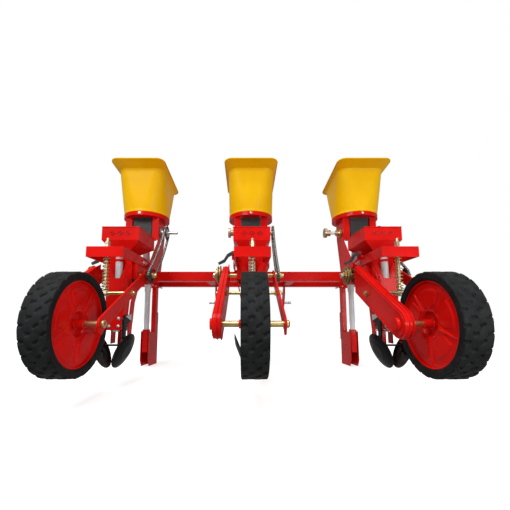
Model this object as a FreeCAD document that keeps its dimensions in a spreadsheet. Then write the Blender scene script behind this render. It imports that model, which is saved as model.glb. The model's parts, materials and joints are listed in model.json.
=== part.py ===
"""Three-row corn planter for a tractor's three-point hitch.

Three row units of one pattern hang on two cross beams.  Each has a fertiliser hopper and opener at the
front, a seed box and seed opener behind it, two covering discs, and a ground wheel on a sprung arm that
drives both meters by chain.

Everything is laid out in the working frame: X to the right, Y towards the tractor, Z up, Y = 0 at the
wheel axles and Z = 0 under the tyres.  The last step shifts each piece so that the origin is in the
middle of the machine at the level of its lowest point.
"""
import FreeCAD, Part
import math
import os
import re

import Sketcher
from FreeCAD import Placement, Rotation, Vector

SIZES = {
    # the whole machine
    "unit_pitch": 700, "beam_over": 150, "beam_size": 60, "beam_low": 450,
    "beam_wall": 5, "rear_beam_y": 714, "front_beam_y": 1064, "dig_depth": 112, "clamp_radius": 5,
    # three-point hitch: lower link pins, mast and top-link hole
    "hitch_front_y": 1330, "link_y": 1225, "link_z": 335, "link_radius": 11, "link_in": 262, "link_tip": 330,
    "mast_half": 44, "mast_wall": 10, "stay_wall": 6, "top_y": 1292, "top_z": 800, "top_radius": 9.6,
    # ground wheel
    "tyre_od": 400, "tyre_width": 95, "tyre_deep": 34, "web_half": 30, "web_wall": 4,
    "hub_radius": 17, "hub_half": 57, "axle_radius": 8, "spacer_radius": 12,
    # wheel arm, pivoted on the drive shaft
    "pivot_y": 464, "pivot_z": 451, "arm_x": 115, "arm_wall": 8, "arm_width": 57,
    "case_x": 121, "case_wide": 46, "case_deep": 32, "case_wall": 3, "case_low_radius": 55,
    "case_high_radius": 62, "case_end_y": 410,
    "pin_y": 255, "pin_radius": 8,
    # spring rod and its bracket
    "rod_radius": 7, "rod_top": 604, "shelf_z": 552, "strip_low": 508, "strip_y": 228, "strip_wall": 6,
    "strip_half": 82, "spring_od": 34, "spring_wire": 5, "spring_low": 361, "spring_turns": 11,
    "lug_x": -102, "lug_y": 470, "lug_z": 578,
    # side plates and the seed side
    "plate_x": 101, "plate_wall": 5, "frame_half": 76, "frame_wall": 6,
    "box_half": 99, "box_rear": 385, "box_front": 640, "box_top": 704, "box_bend": 631, "box_foot": 561,
    "box_wall": 2.5, "meter_half": 33, "meter_rear": 412, "meter_front": 516, "meter_low": 402,
    "rotor_radius": 40, "tube_radius": 18, "tube_wall": 2.5, "seed_tube_y": 392,
    # fertiliser side
    "hopper_y": 781, "ring_radius": 145, "ring_thick": 25, "ring_top": 886, "outlet_radius": 45,
    "hopper_step": 5, "hopper_wall": 3, "brim_half": 167, "brim_rear": 545, "brim_front": 975,
    "brim_rear_z": 1190, "brim_front_z": 1142, "crease_drop": 36, "crease_in": 27, "crease_rear_in": 72,
    "feed_y": 743, "feed_z": 772, "feed_radius": 9, "feed_tip": 216, "middle_knob": 148,
    "granule_half": 58, "granule_wall": 4, "granule_low": 736, "drop_radius": 22, "drop_wall": 3,
    "opener_y": 1005, "opener_deep": 50, "opener_wide": 30, "boot_long": 158,
    # drive
    "shaft_radius": 10, "sprocket_x": 142, "sprocket_thick": 5, "sprocket_radius": 38,
    "feed_sprocket_radius": 42, "chain_thick": 9, "clutch_x": 172, "clutch_radius": 54,
    # covering discs
    "disc_x": 68, "disc_y": 368, "disc_z": 52, "disc_radius": 90, "disc_wall": 3, "disc_camber": 22,
    "disc_toe": 4, "stub_radius": 8, "disc_arm_x": 50, "disc_arm_wall": 6,
    # clearances
    "running": 0.05, "apart": 0.5,
}

SIDES = (("left", -1), ("centre", 0), ("right", 1))

doc = FreeCAD.newDocument("corn_planter")
sheet = doc.addObject("Spreadsheet::Sheet", "sizes")
for row, (alias, value) in enumerate(SIZES.items(), start=1):
    sheet.set(f"A{row}", alias)
    sheet.set(f"B{row}", str(value))
    sheet.setAlias(f"B{row}", alias)
doc.recompute()

WORD = re.compile(r"\b(" + "|".join(sorted(SIZES, key=len, reverse=True)) + r")\b")
nodes = []


def full(text):
    """An expression with each size's name spelled as a cell of the sheet."""
    return WORD.sub(r"sizes.\1", str(text))


def value(text):
    """The number that an expression gives now."""
    return float(sheet.evalExpression(full(text)))


def bind(thing, **formulas):
    for name, text in formulas.items():
        thing.setExpression(name.replace("_dot_", "."), full(text))
    return thing


def at(thing, x=0, y=0, z=0):
    return bind(thing, Placement_dot_Base_dot_x=x, Placement_dot_Base_dot_y=y, Placement_dot_Base_dot_z=z)


def turned(thing, axis, angle, x=0, y=0, z=0):
    """Rotate about an axis through the thing's own origin by an angle formula, then move it."""
    thing.Placement = Placement(Vector(0, 0, 0), Rotation(Vector(*axis), 1))
    bind(thing, Placement_dot_Rotation_dot_Angle=angle)
    return at(thing, x, y, z)


def block(x, y, z):
    """A box from three (low, high) pairs of formulas."""
    box = doc.addObject("Part::Box", "block")
    bind(box, Length=f"({x[1]}) - ({x[0]})", Width=f"({y[1]}) - ({y[0]})", Height=f"({z[1]}) - ({z[0]})")
    return at(box, x[0], y[0], z[0])


TURNS = {"x": Rotation(Vector(0, 1, 0), 90), "y": Rotation(Vector(1, 0, 0), -90), "z": Rotation()}


def round_bar(axis, radius, low, high, a=0, b=0):
    """A cylinder along an axis from low to high; a and b are its other two coordinates in X, Y, Z order."""
    bar = doc.addObject("Part::Cylinder", "bar")
    bind(bar, Radius=radius, Height=f"({high}) - ({low})")
    bar.Placement = Placement(Vector(0, 0, 0), TURNS[axis])
    place = {"x": (low, a, b), "y": (a, low, b), "z": (a, b, low)}[axis]
    return at(bar, *place)


def nut(axis, flats, low, high, a=0, b=0):
    """A six-sided nut or bolt head, given across its flats."""
    prism = doc.addObject("Part::Prism", "nut")
    prism.Polygon = 6
    bind(prism, Circumradius=f"({flats}) / sqrt(3)", Height=f"({high}) - ({low})")
    prism.Placement = Placement(Vector(0, 0, 0), TURNS[axis])
    place = {"x": (low, a, b), "y": (a, low, b), "z": (a, b, low)}[axis]
    return at(prism, *place)


def fuse(*things):
    joined = doc.addObject("Part::MultiFuse", "joined")
    joined.Shapes = list(things)
    joined.Refine = True
    return joined


def cut(base, *tools):
    rest = doc.addObject("Part::Cut", "rest")
    rest.Base = base
    rest.Tool = tools[0] if len(tools) == 1 else fuse(*tools)
    return rest


def group(*things):
    """Separate solids kept together as one sub-part."""
    kept = doc.addObject("Part::Compound", "kept")
    kept.Links = list(things)
    return kept


def outline(body, plane, points):
    """A closed sketch of straight sides on one of the body's own planes; each corner is two formulas."""
    sketch = body.newObject("Sketcher::SketchObject", "outline")
    origin_plane = [f for f in body.Origin.OriginFeatures if f.Role == plane][0]
    sketch.AttachmentSupport = [(origin_plane, "")]
    sketch.MapMode = "FlatFace"
    corners = [Vector(value(a), value(b), 0) for a, b in points]
    count = len(corners)
    for i in range(count):
        sketch.addGeometry(Part.LineSegment(corners[i], corners[(i + 1) % count]))
    for i in range(count):
        sketch.addConstraint(Sketcher.Constraint("Coincident", i, 2, (i + 1) % count, 1))
    for i, (a, b) in enumerate(points):
        for kind, text in (("DistanceX", a), ("DistanceY", b)):
            number = sketch.addConstraint(Sketcher.Constraint(kind, -1, 1, i, 1, value(text)))
            sketch.setExpression(f"Constraints[{number}]", full(text))
    return sketch


def plate(points, low, thick, plane="YZ_Plane"):
    """A flat plate: its outline padded along the plane's normal from low by its thickness."""
    body = doc.addObject("PartDesign::Body", "plate")
    pad = body.newObject("PartDesign::Pad", "pad")
    pad.Profile = outline(body, plane, points)
    bind(pad, Length=thick)
    where = {"YZ_Plane": ("x", low), "XY_Plane": ("z", low), "XZ_Plane": ("y", low)}[plane]
    return at(body, **{where[0]: where[1]})


def spun(points):
    """A solid of revolution about the X axis; each corner is (along the axis, radius)."""
    body = doc.addObject("PartDesign::Body", "spun")
    turn = body.newObject("PartDesign::Revolution", "turn")
    sketch = outline(body, "XY_Plane", points)
    turn.Profile = sketch
    turn.ReferenceAxis = (sketch, ["H_Axis"])
    turn.Angle = 360
    return body


def seat(thing, name, side=0, x="0", y="0", z="0"):
    """Name a finished sub-part and shift it from the working frame to the machine's own origin."""
    thing.Label = name
    at(thing, f"unit_pitch * {side} + {x}", f"({y}) - (hitch_front_y - tyre_od / 2) / 2",
       f"({z}) + dig_depth")
    nodes.append(thing)
    return thing


# ---------------------------------------------------------------- frame shared by the three units

def beam(y):
    outer = block(("-unit_pitch - beam_over", "unit_pitch + beam_over"), (y, f"{y} + beam_size"),
                  ("beam_low", "beam_low + beam_size"))
    inner = block(("-unit_pitch - beam_over - 1", "unit_pitch + beam_over + 1"),
                  (f"{y} + beam_wall", f"{y} + beam_size - beam_wall"),
                  ("beam_low + beam_wall", "beam_low + beam_size - beam_wall"))
    return cut(outer, inner)


def hitch():
    """Two lower plates with pins, the mast with its top-link hole, its stays and the two long members."""
    pieces = []
    front = "front_beam_y + beam_size"
    rear = "rear_beam_y + beam_size"
    foot = "beam_low + beam_size + 8.3"
    for sign in (-1, 1):
        link = "link_in" if sign > 0 else "-link_in - 10"
        pieces.append(plate([(front, 512), ("link_y + 25", 380), ("link_y + 37", "link_z"),
                             ("link_y + 25", "link_z - 35"), ("link_y - 20", "link_z - 45"),
                             (front, 400)], link, 10))
        pin = ("link_in + 9", "link_tip") if sign > 0 else ("-link_tip", "-link_in - 9")
        pieces.append(round_bar("x", "link_radius", *pin, a="link_y", b="link_z"))
        member = (245, 295) if sign > 0 else (-295, -245)
        pieces.append(block(member, (rear, "front_beam_y"),
                            ("beam_low + beam_wall", "beam_low + beam_size - beam_wall")))
        mast = "mast_half - mast_wall" if sign > 0 else "-mast_half"
        pieces.append(plate([(front, "beam_low"), (front, "beam_low + beam_size"), (1230, "top_z + 20"),
                             ("top_y - 30", "top_z + 42"), ("top_y + 20", "top_z + 42"),
                             ("hitch_front_y", "top_z + 15"), ("hitch_front_y", "top_z - 30"), (1215, 560),
                             (1190, "beam_low")], mast, "mast_wall"))
        stay = "mast_half - mast_wall - stay_wall" if sign > 0 else "mast_wall - mast_half"
        pieces.append(plate([("rear_beam_y + 10", foot), ("rear_beam_y + 50", foot), (1262, "top_z - 30"),
                             (1255, "top_z + 12"), (1235, "top_z + 12")], stay, "stay_wall"))
    hole = round_bar("x", "top_radius", "-mast_half - 16", "mast_half + 16", a="top_y", b="top_z")
    seat(cut(fuse(*pieces), hole), "hitch_frame")


def beam_clamps():
    """Bolts that clamp each unit to the rear beam and each fertiliser shank to the front beam."""
    solids = []
    top = "beam_low + beam_size"
    for _, side in SIDES:
        for shift in (-62, 54):
            x = f"unit_pitch * {side} + {shift}"
            for y in ("rear_beam_y - 6", "rear_beam_y + beam_size + 6"):
                solids.append(round_bar("z", "clamp_radius", "beam_low - 22", f"{top} + 25", a=x, b=y))
        for shift in (-29, 9):
            x = f"unit_pitch * {side} + {shift}"
            for z in ("beam_low - 6", f"{top} + 6"):
                solids.append(round_bar("y", "clamp_radius", "opener_y - 22",
                                        "front_beam_y + beam_size + 14", a=x, b=z))
    seat(group(*solids), "beam_clamp_bolts")


# ---------------------------------------------------------------- one row unit

def unit_frame(name, side):
    """Side plates that carry the hopper ring, with their feet on the rear beam and the rear sub-frame."""
    top = "ring_top - ring_thick"
    foot = "beam_low + beam_size + 0.3"
    edge = [("rear_beam_y - 24", top), ("rear_beam_y - 24", 700), (556, "beam_low + 90"),
            (556, "beam_low + 62"),
            ("rear_beam_y - 10", foot), ("rear_beam_y + beam_size", foot), ("rear_beam_y + 118", 749),
            ("rear_beam_y + 118", top)]
    pieces = []
    for sign in (-1, 1):
        low = "plate_x" if sign > 0 else "-plate_x - plate_wall"
        pieces.append(plate(edge, low, "plate_wall"))
        flange = ("65", "plate_x") if sign > 0 else ("-plate_x", "-65")
        pieces.append(block(flange, ("rear_beam_y - 24", "rear_beam_y - 19"), (712, top)))
        inner = "frame_half" if sign > 0 else "-frame_half - frame_wall"
        pieces.append(plate([(430, "pivot_z - 24"), (430, 560), (556, 560), ("rear_beam_y - 0.3", 522),
                             ("rear_beam_y - 0.3", "pivot_z - 24")], inner, "frame_wall"))
        face = ("frame_half - 29", "frame_half") if sign > 0 else ("-frame_half", "-frame_half + 29")
        pieces.append(block(face, (430, 435), ("pivot_z - 24", 560)))
        link = ("frame_half", "plate_x + 1") if sign > 0 else ("-plate_x - 1", "-frame_half")
        pieces.append(block(link, (560, 566), (522, 540)))
    pieces.append(block(("-plate_x - plate_wall", "plate_x + plate_wall"),
                        ("rear_beam_y - 10", "rear_beam_y + beam_size + 12"),
                        (foot, f"{foot} + 8")))
    pieces.append(block(("-frame_half", "frame_half"), ("rear_beam_y - 8.3", "rear_beam_y - 0.3"),
                        ("pivot_z - 24", 522)))
    pieces.append(round_bar("z", "ring_radius", top, "ring_top", a=0, b="hopper_y"))
    tools = [round_bar("z", "ring_radius - 4", f"{top} + 3", "ring_top + 1", a=0, b="hopper_y"),
             round_bar("z", "outlet_radius", f"{top} - 1", "ring_top", a=0, b="rear_beam_y + 38"),
             round_bar("x", "shaft_radius + running", "-plate_x", "plate_x", a="pivot_y", b="pivot_z"),
             round_bar("x", "feed_radius + running", "-plate_x - 20", "plate_x + 20", a="feed_y", b="feed_z")]
    for shift in (-62, 54):
        for y in ("rear_beam_y - 6", "rear_beam_y + beam_size + 6"):
            tools.append(round_bar("z", "clamp_radius + running", "beam_low - 30", "beam_low + 100",
                                   a=shift, b=y))
    seat(cut(fuse(*pieces), *tools), name, side)


def wedge(x, y, z, foot_x, foot_y, foot_z):
    """A four-sided funnel between two level rectangles, as a solid."""
    def ring(xs, ys, level):
        corners = [(xs[0], ys[0]), (xs[1], ys[0]), (xs[1], ys[1]), (xs[0], ys[1])]
        return Part.makePolygon([Vector(value(a), value(b), value(level)) for a, b in corners + corners[:1]])
    funnel = doc.addObject("Part::Feature", "funnel")
    funnel.Shape = Part.makeLoft([ring(x, y, z), ring(foot_x, foot_y, foot_z)], True, True)
    return funnel


def seed_box(name, side):
    """Open-topped sheet-metal box that tapers to the seed meter."""
    def shell(inset):
        upper = block((f"-box_half + {inset}", f"box_half - {inset}"),
                      (f"box_rear + {inset}", f"box_front - {inset}"),
                      ("box_bend", "box_top"))
        taper = wedge((f"-box_half + {inset}", f"box_half - {inset}"),
                      (f"box_rear + {inset}", f"box_front - {inset}"),
                      "box_bend", (f"-meter_half + {inset}", f"meter_half - {inset}"),
                      (f"meter_rear + {inset}", f"meter_front - {inset}"), "box_foot")
        return upper, taper
    outer = fuse(*shell("0"))
    hollow = list(shell("box_wall"))
    mouth = block(("-box_half + box_wall", "box_half - box_wall"),
                  ("box_rear + box_wall", "box_front - box_wall"),
                  ("box_top - 1", "box_top + 1"))
    drop = block(("-meter_half + box_wall", "meter_half - box_wall"),
                 ("meter_rear + box_wall", "meter_front - box_wall"),
                 ("box_foot - 1", "box_foot + 1"))
    seat(cut(outer, *hollow, mouth, drop), name, side)


def rounded_ring(half_x, rear, front, corner, rear_z, front_z):
    """A rounded rectangle that slopes evenly from its rear edge to its front edge, as a wire."""
    deep = math.hypot(front - rear, front_z - rear_z)
    a, b = half_x - corner, deep / 2 - corner
    edges = []
    for i, (sx, sy) in enumerate(((1, 1), (-1, 1), (-1, -1), (1, -1))):
        turn = 90 * i
        edges.append(Part.ArcOfCircle(Part.Circle(Vector(sx * a, sy * b, 0), Vector(0, 0, 1), corner),
                                      math.radians(turn), math.radians(turn + 90)).toShape())
        nx, ny = ((-1, 1), (-1, -1), (1, -1), (1, 1))[i]
        end = edges[-1].Vertexes[-1].Point
        start = Vector(nx * a, ny * (b + corner), 0) if i % 2 == 0 else Vector(nx * (a + corner), ny * b, 0)
        edges.append(Part.LineSegment(end, start).toShape())
    wire = Part.Wire(edges)
    slope = math.degrees(math.atan2(front_z - rear_z, front - rear))
    wire.Placement = Placement(Vector(0, (rear + front) / 2, (rear_z + front_z) / 2),
                               Rotation(Vector(1, 0, 0), slope))
    return wire


def hopper(name, side):
    """Moulded fertiliser hopper: round foot on the ring, body that squares off upwards, flared brim."""
    base, middle, foot = value("ring_radius - hopper_step"), value("hopper_y"), value("ring_top")
    rear, front = value("brim_rear"), value("brim_front")
    rear_z, front_z = value("brim_rear_z"), value("brim_front_z")
    drop, side_in, rear_in = value("crease_drop"), value("crease_in"), value("crease_rear_in")

    def skin(inset, lift):
        def wire(half_x, back, ahead, corner, back_z, ahead_z):
            return rounded_ring(half_x - inset, back + inset, ahead - inset, corner - inset, back_z, ahead_z)
        half = value("brim_half")
        low = wire(base, middle - base, middle + base, base - 2, foot + lift, foot + lift)
        crease = wire(half - side_in, rear + rear_in, front - 18, 42, rear_z - drop, front_z - drop + 14)
        brim = wire(half, rear, front, 30, rear_z, front_z)
        return [Part.makeLoft([low, crease], True, True), Part.makeLoft([crease, brim], True, True), brim]

    body, flare, _ = skin(0, 0)
    flange = Part.makeCylinder(value("ring_radius"), 5, Vector(0, middle, foot))
    outer = body.fuse([flare, flange])
    inner_body, inner_flare, inner_brim = skin(value("hopper_wall"), -1)
    mouth = Part.Face(inner_brim).extrude(Vector(0, 0, 8))
    shell = outer.cut([inner_body, inner_flare, mouth])
    skin_solid = doc.addObject("Part::Feature", "hopper_skin")
    skin_solid.Shape = shell
    seat(group(skin_solid), name, side)


def seed_meter():
    """Cast housing under the seed box with a chamber round the metering roller."""
    body = block(("-meter_half", "meter_half"), ("meter_rear", "meter_front"), ("meter_low", "box_foot"))
    chamber = round_bar("x", "rotor_radius + 1.5", "-meter_half + 6", "meter_half - 6", a="pivot_y",
                        b="pivot_z")
    throat = block(("-meter_half + 6", "meter_half - 6"), ("meter_rear + 12", "meter_front - 12"),
                   ("pivot_z", "box_foot + 1"))
    drop = block(("-12", "12"), ("meter_rear - 1", "pivot_y"), ("pivot_z - 14", "pivot_z + 10"))
    bore = round_bar("x", "shaft_radius + running", "-meter_half - 1", "meter_half + 1", a="pivot_y",
                     b="pivot_z")
    return cut(body, chamber, throat, drop, bore)


def fertiliser_meter():
    """Red housing hung under the hopper ring, open at the top, with its outlet spout."""
    ceiling = "ring_top - ring_thick"
    body = block(("-granule_half", "granule_half"), ("rear_beam_y - 16", "rear_beam_y + 92"),
                 ("granule_low", ceiling))
    hollow = block(("granule_wall - granule_half", "granule_half - granule_wall"),
                   ("rear_beam_y - 16 + granule_wall", "rear_beam_y + 92 - granule_wall"),
                   ("granule_low + 6", f"{ceiling} + 1"))
    spout = round_bar("z", "drop_radius + granule_wall", "granule_low - 20", "granule_low + 1", a=0,
                      b="hopper_y")
    way = round_bar("z", "drop_radius - 1", "granule_low - 21", "granule_low + 7", a=0, b="hopper_y")
    bore = round_bar("x", "feed_radius + running", "-granule_half - 2", "granule_half + 2", a="feed_y",
                     b="feed_z")
    return cut(fuse(body, spout), hollow, way, bore)


def shared_pieces():
    for maker, name in ((seed_meter, "seed_meters"), (fertiliser_meter, "fertiliser_meters"),
                        (seed_tube, "seed_tubes"), (fertiliser_tube, "fertiliser_tubes"),
                        (meter_chain, "meter_drive_chains"), (spring_bracket, "spring_brackets")):
        spread = [at(group(maker()), f"unit_pitch * {side}") for _, side in SIDES]
        seat(group(*spread), name)


def seed_tube():
    """Drop tube from the seed meter, clipped to its rear face, down to the seed opener."""
    tube = round_bar("z", "tube_radius", 150, 536, b="seed_tube_y")
    band = round_bar("z", "tube_radius + 1.5", 514, 526, b="seed_tube_y")
    bore = round_bar("z", "tube_radius - tube_wall", 149, 537, b="seed_tube_y")
    window = block(("-11", "11"), ("seed_tube_y", "seed_tube_y + tube_radius + 5"),
                   ("pivot_z - 14", "pivot_z + 8"))
    return cut(fuse(tube, band), bore, window)


def bent_path(points, radius):
    """A wire of straight runs joined by tangent arcs."""
    corners = [Vector(*p) for p in points]
    edges = []
    start = corners[0]
    for before, corner, after in zip(corners, corners[1:], corners[2:]):
        back = (before - corner).normalize()
        ahead = (after - corner).normalize()
        half = back.getAngle(ahead) / 2
        reach = radius / math.tan(half)
        first = corner + back * reach
        last = corner + ahead * reach
        middle = corner + (back + ahead).normalize() * (radius / math.sin(half) - radius)
        edges.append(Part.LineSegment(start, first).toShape())
        edges.append(Part.Arc(first, middle, last).toShape())
        start = last
    edges.append(Part.LineSegment(start, corners[-1]).toShape())
    return Part.Wire(edges)


def fertiliser_tube():
    """Ribbed plastic tube from the meter's spout, over the rear beam and down to the opener."""
    drop_y = value("rear_beam_y + beam_size + 98")
    points = [(0, value("hopper_y"), value("granule_low - 20.3")),
              (0, value("hopper_y"), value("beam_low + 190")),
              (-8.5, drop_y, value("beam_low + 30")), (-8.5, drop_y, 60)]
    path = bent_path(points, 110)
    tube = doc.addObject("Part::Feature", "tube")
    disc = Part.Wire(Part.Circle(Vector(*points[0]), Vector(0, 0, 1), value("drop_radius")).toShape())
    hole = Part.Wire(Part.Circle(Vector(*points[0]), Vector(0, 0, 1),
                                 value("drop_radius - drop_wall")).toShape())
    tube.Shape = path.makePipeShell([disc], True, False).cut(path.makePipeShell([hole], True, False))
    return tube


def chain_loop(y1, z1, r1, y2, z2, r2, low, thick, wall):
    """A closed chain round two sprockets, as a band of even thickness."""
    a = Vector(0, value(y1), value(z1))
    b = Vector(0, value(y2), value(z2))
    inner_a, inner_b, band = value(r1), value(r2), value(wall)
    along = (b - a).normalize()
    gap = (b - a).Length

    def loop(ra, rb):
        lean = math.asin((ra - rb) / gap)
        ends = []
        for sign in (1, -1):
            normal = Rotation(Vector(1, 0, 0), sign * (90 - math.degrees(lean))).multVec(along)
            ends.append((a + normal * ra, b + normal * rb))
        edges = [Part.LineSegment(ends[0][0], ends[0][1]).toShape(),
                 Part.Arc(ends[0][1], b + along * rb, ends[1][1]).toShape(),
                 Part.LineSegment(ends[1][1], ends[1][0]).toShape(),
                 Part.Arc(ends[1][0], a - along * ra, ends[0][0]).toShape()]
        return Part.Face(Part.Wire(edges))

    ring = loop(inner_a + band, inner_b + band).cut(loop(inner_a, inner_b))
    chain = doc.addObject("Part::Feature", "chain")
    chain.Shape = ring.extrude(Vector(value(thick), 0, 0))
    chain.Placement = Placement(Vector(value(low), 0, 0), Rotation())
    return chain


def meter_chain():
    return chain_loop("pivot_y", "pivot_z", "sprocket_radius + apart", "feed_y", "feed_z",
                      "feed_sprocket_radius + apart", "sprocket_x - 1.5", "sprocket_thick + 3", "chain_thick")


def spring_bracket():
    """Strip bent round the spring rod's top, its shelf with the rod's hole, bolted to the sub-frame."""
    strip = block(("-strip_half - strip_wall", "strip_half + strip_wall"),
                  ("strip_y", "strip_y + strip_wall"), ("strip_low", "shelf_z + strip_wall"))
    legs = [block(("strip_half", "strip_half + strip_wall"), ("strip_y", 548),
                  ("strip_low", "shelf_z + strip_wall")),
            block(("-strip_half - strip_wall", "-strip_half"), ("strip_y", 548),
                  ("strip_low", "shelf_z + strip_wall"))]
    shelf = block(("-strip_half", "strip_half"), ("strip_y", "pin_y + 30"),
                  ("shelf_z", "shelf_z + strip_wall"))
    hole = round_bar("z", "rod_radius + 2.5", "shelf_z - 1", "shelf_z + strip_wall + 1", a=0, b="pin_y")
    lug = block(("lug_x - 8", "-strip_half - 1"), ("lug_y", "lug_y + 6"), (540, "lug_z + 10"))
    pivot = round_bar("y", 5, "lug_y - 14", "lug_y + 6", a="lug_x", b="lug_z")
    return cut(fuse(strip, *legs, shelf, lug, pivot), hole)


def seed_opener(name, side):
    """Two legs under the sub-frame, the bolted cross plate, the seed shoe and the disc arms."""
    pieces = []
    for sign in (-1, 1):
        outer = [("frame_half * %d" % sign, "pivot_z - 24.3"), ("(frame_half - 26) * %d" % sign, 300),
                 ("(frame_half - 36) * %d" % sign, 150), ("(frame_half - 36) * %d" % sign, 85)]
        inner = [("%s + 6 * %d" % (a, sign), b) for a, b in reversed(outer)]
        leg = doc.addObject("PartDesign::Body", "leg")
        pad = leg.newObject("PartDesign::Pad", "pad")
        pad.Profile = outline(leg, "XZ_Plane", outer + inner)
        bind(pad, Length=46)
        pieces.append(at(leg, y=482))
        lug = ("frame_half - 4", "frame_half + 6") if sign > 0 else ("-frame_half - 6", "-frame_half + 4")
        pieces.append(block(lug, (436, 482), ("pivot_z - 30", "pivot_z - 24.3")))
    pieces.append(block(("-46", "46"), (430, 437), (152, 232)))
    pieces.append(plate([(436.5, 232), (482, 232), (482, 20), (464, 8), (436.5, 60)], "-9", 18))
    bolts = [nut("y", 16, 421, 430.5, a=x, b=z) for x in (-24, 24) for z in (169, 215)]
    seat(fuse(*pieces, *bolts, *disc_arms()), name, side)


def fertiliser_opener(name, side):
    """Shank clamped to the front beam, the boot that is open behind, its wings and the knife in front."""
    wide = ("-opener_wide / 2 - 10", "opener_wide / 2 - 10")
    shank = block(wide, ("opener_y + 8.7", "opener_y + 8.7 + opener_deep"), (40, "beam_low + beam_size + 16"))
    holes = [round_bar("y", "clamp_radius + running", "opener_y", "opener_y + 70", a=x, b=z)
             for x in (-29, 9) for z in ("beam_low - 6", "beam_low + beam_size + 6")]
    pad = block(("-44", "24"), ("opener_y", "opener_y + 8.7"), ("beam_low - 18", "beam_low + beam_size + 18"))
    tip = plate([("opener_y + 58", 100), ("opener_y + 34", 100), ("opener_y + 8", -30),
                 ("opener_y + 20", "-dig_depth"),
                 ("opener_y + 44", "-dig_depth"), ("opener_y + 84", -70)], "-18", 16)
    wings = []
    for low in ("-36", "15"):
        wings.append(plate([("opener_y + 34", 108), ("opener_y - boot_long", 127),
                            ("opener_y - boot_long", -62),
                            ("opener_y - boot_long + 26", -104), ("opener_y + 20", "-dig_depth"),
                            ("opener_y + 34", "-dig_depth")], low, 4))
    web = block(("-36", "19"), ("opener_y + 28", "opener_y + 34"), ("-dig_depth", 100))
    knife = plate([("opener_y + 58.7", 273), ("opener_y + 112", 250), ("opener_y + 116", 60),
                   ("opener_y + 84", 34),
                   ("opener_y + 58.7", 60)], "-14", 8)
    seat(cut(fuse(shank, pad, tip, *wings, web, knife), *holes), name, side)


# ---------------------------------------------------------------- moving pieces of one unit

PIN_Z = "tyre_od / 2 + pin_y * (pivot_z - tyre_od / 2) / pivot_y"


def tyre(name, side):
    half, outer, bead = "tyre_width / 2", "tyre_od / 2", "tyre_od / 2 - tyre_deep"
    shape = spun([(f"-{half}", f"{bead} + 8"), (f"-{half}", f"{outer} - 12"), (f"-{half} + 9", outer),
                  (f"{half} - 9", outer), (half, f"{outer} - 12"), (half, f"{bead} + 8"), (f"{half} - 6",
                                                                                           bead),
                  (f"-{half} + 6", bead)])
    seat(shape, name, side, z="tyre_od / 2")


def wheel_disc(name, side):
    """Pressed wheel of two dished webs on a rim and hub, and the stepped axle that turns with it."""
    rim, web = "tyre_od / 2 - tyre_deep", "web_half"
    band = spun([(f"-{web} - 9", f"{rim} - 4"), (f"-{web} - 9", rim), (f"{web} + 9", rim),
                 (f"{web} + 9", f"{rim} - 4")])
    hub = spun([("-hub_half", "axle_radius"), ("-hub_half", "hub_radius"), ("hub_half", "hub_radius"),
                ("hub_half", "axle_radius")])
    webs = [spun([(f"{low}", "hub_radius - 2"), (f"{low}", f"{rim} - 2"), (f"{low} + web_wall", f"{rim} - 2"),
                  (f"{low} + web_wall", "hub_radius - 2")]) for low in ("-web_half", "web_half - web_wall")]
    holes = []
    for i in range(5):
        turn = math.radians(90 + 72 * i)
        holes.append(round_bar("x", 5, "-web_half - 5", "web_half + 5", a=120 * math.cos(turn),
                               b=120 * math.sin(turn)))
    disc = cut(fuse(band, hub, *webs), *holes)
    reach = "arm_x + arm_wall"
    axle = spun([("-case_x - case_wide + case_wall + 1", 0),
                 ("-case_x - case_wide + case_wall + 1", "axle_radius"),
                 ("-case_x + 1", "axle_radius"), ("-case_x + 1", "spacer_radius"), ("-hub_half - apart",
                                                                                    "spacer_radius"),
                 ("-hub_half - apart", "axle_radius"), ("hub_half + apart", "axle_radius"),
                 ("hub_half + apart", "spacer_radius"), ("arm_x - apart",
                                                         "spacer_radius"), ("arm_x - apart", "axle_radius"),
                 (f"{reach} + 22", "axle_radius"), (f"{reach} + 22", 0)])
    washers = [spun([(f"{reach} + apart", "axle_radius"), (f"{reach} + apart", 15), (f"{reach} + 3", 15),
                     (f"{reach} + 3", "axle_radius")])]
    head = cut(nut("x", 24, f"{reach} + 3", f"{reach} + 16"),
               round_bar("x", "axle_radius", f"{reach}", f"{reach} + 17"))
    sprocket = spun([("-case_x - 20", "axle_radius"), ("-case_x - 20", 30), ("-case_x - 15", 30),
                     ("-case_x - 15", "axle_radius")])
    seat(group(disc, fuse(axle, *washers, head, sprocket)), name, side, z="tyre_od / 2")


def along_arm(thing, x="0"):
    """Put a thing built along +Y at the axle onto the line from the axle to the pivot."""
    return turned(thing, (1, 0, 0), "atan2(pivot_z - tyre_od / 2; pivot_y)", x, 0, "tyre_od / 2")


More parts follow.
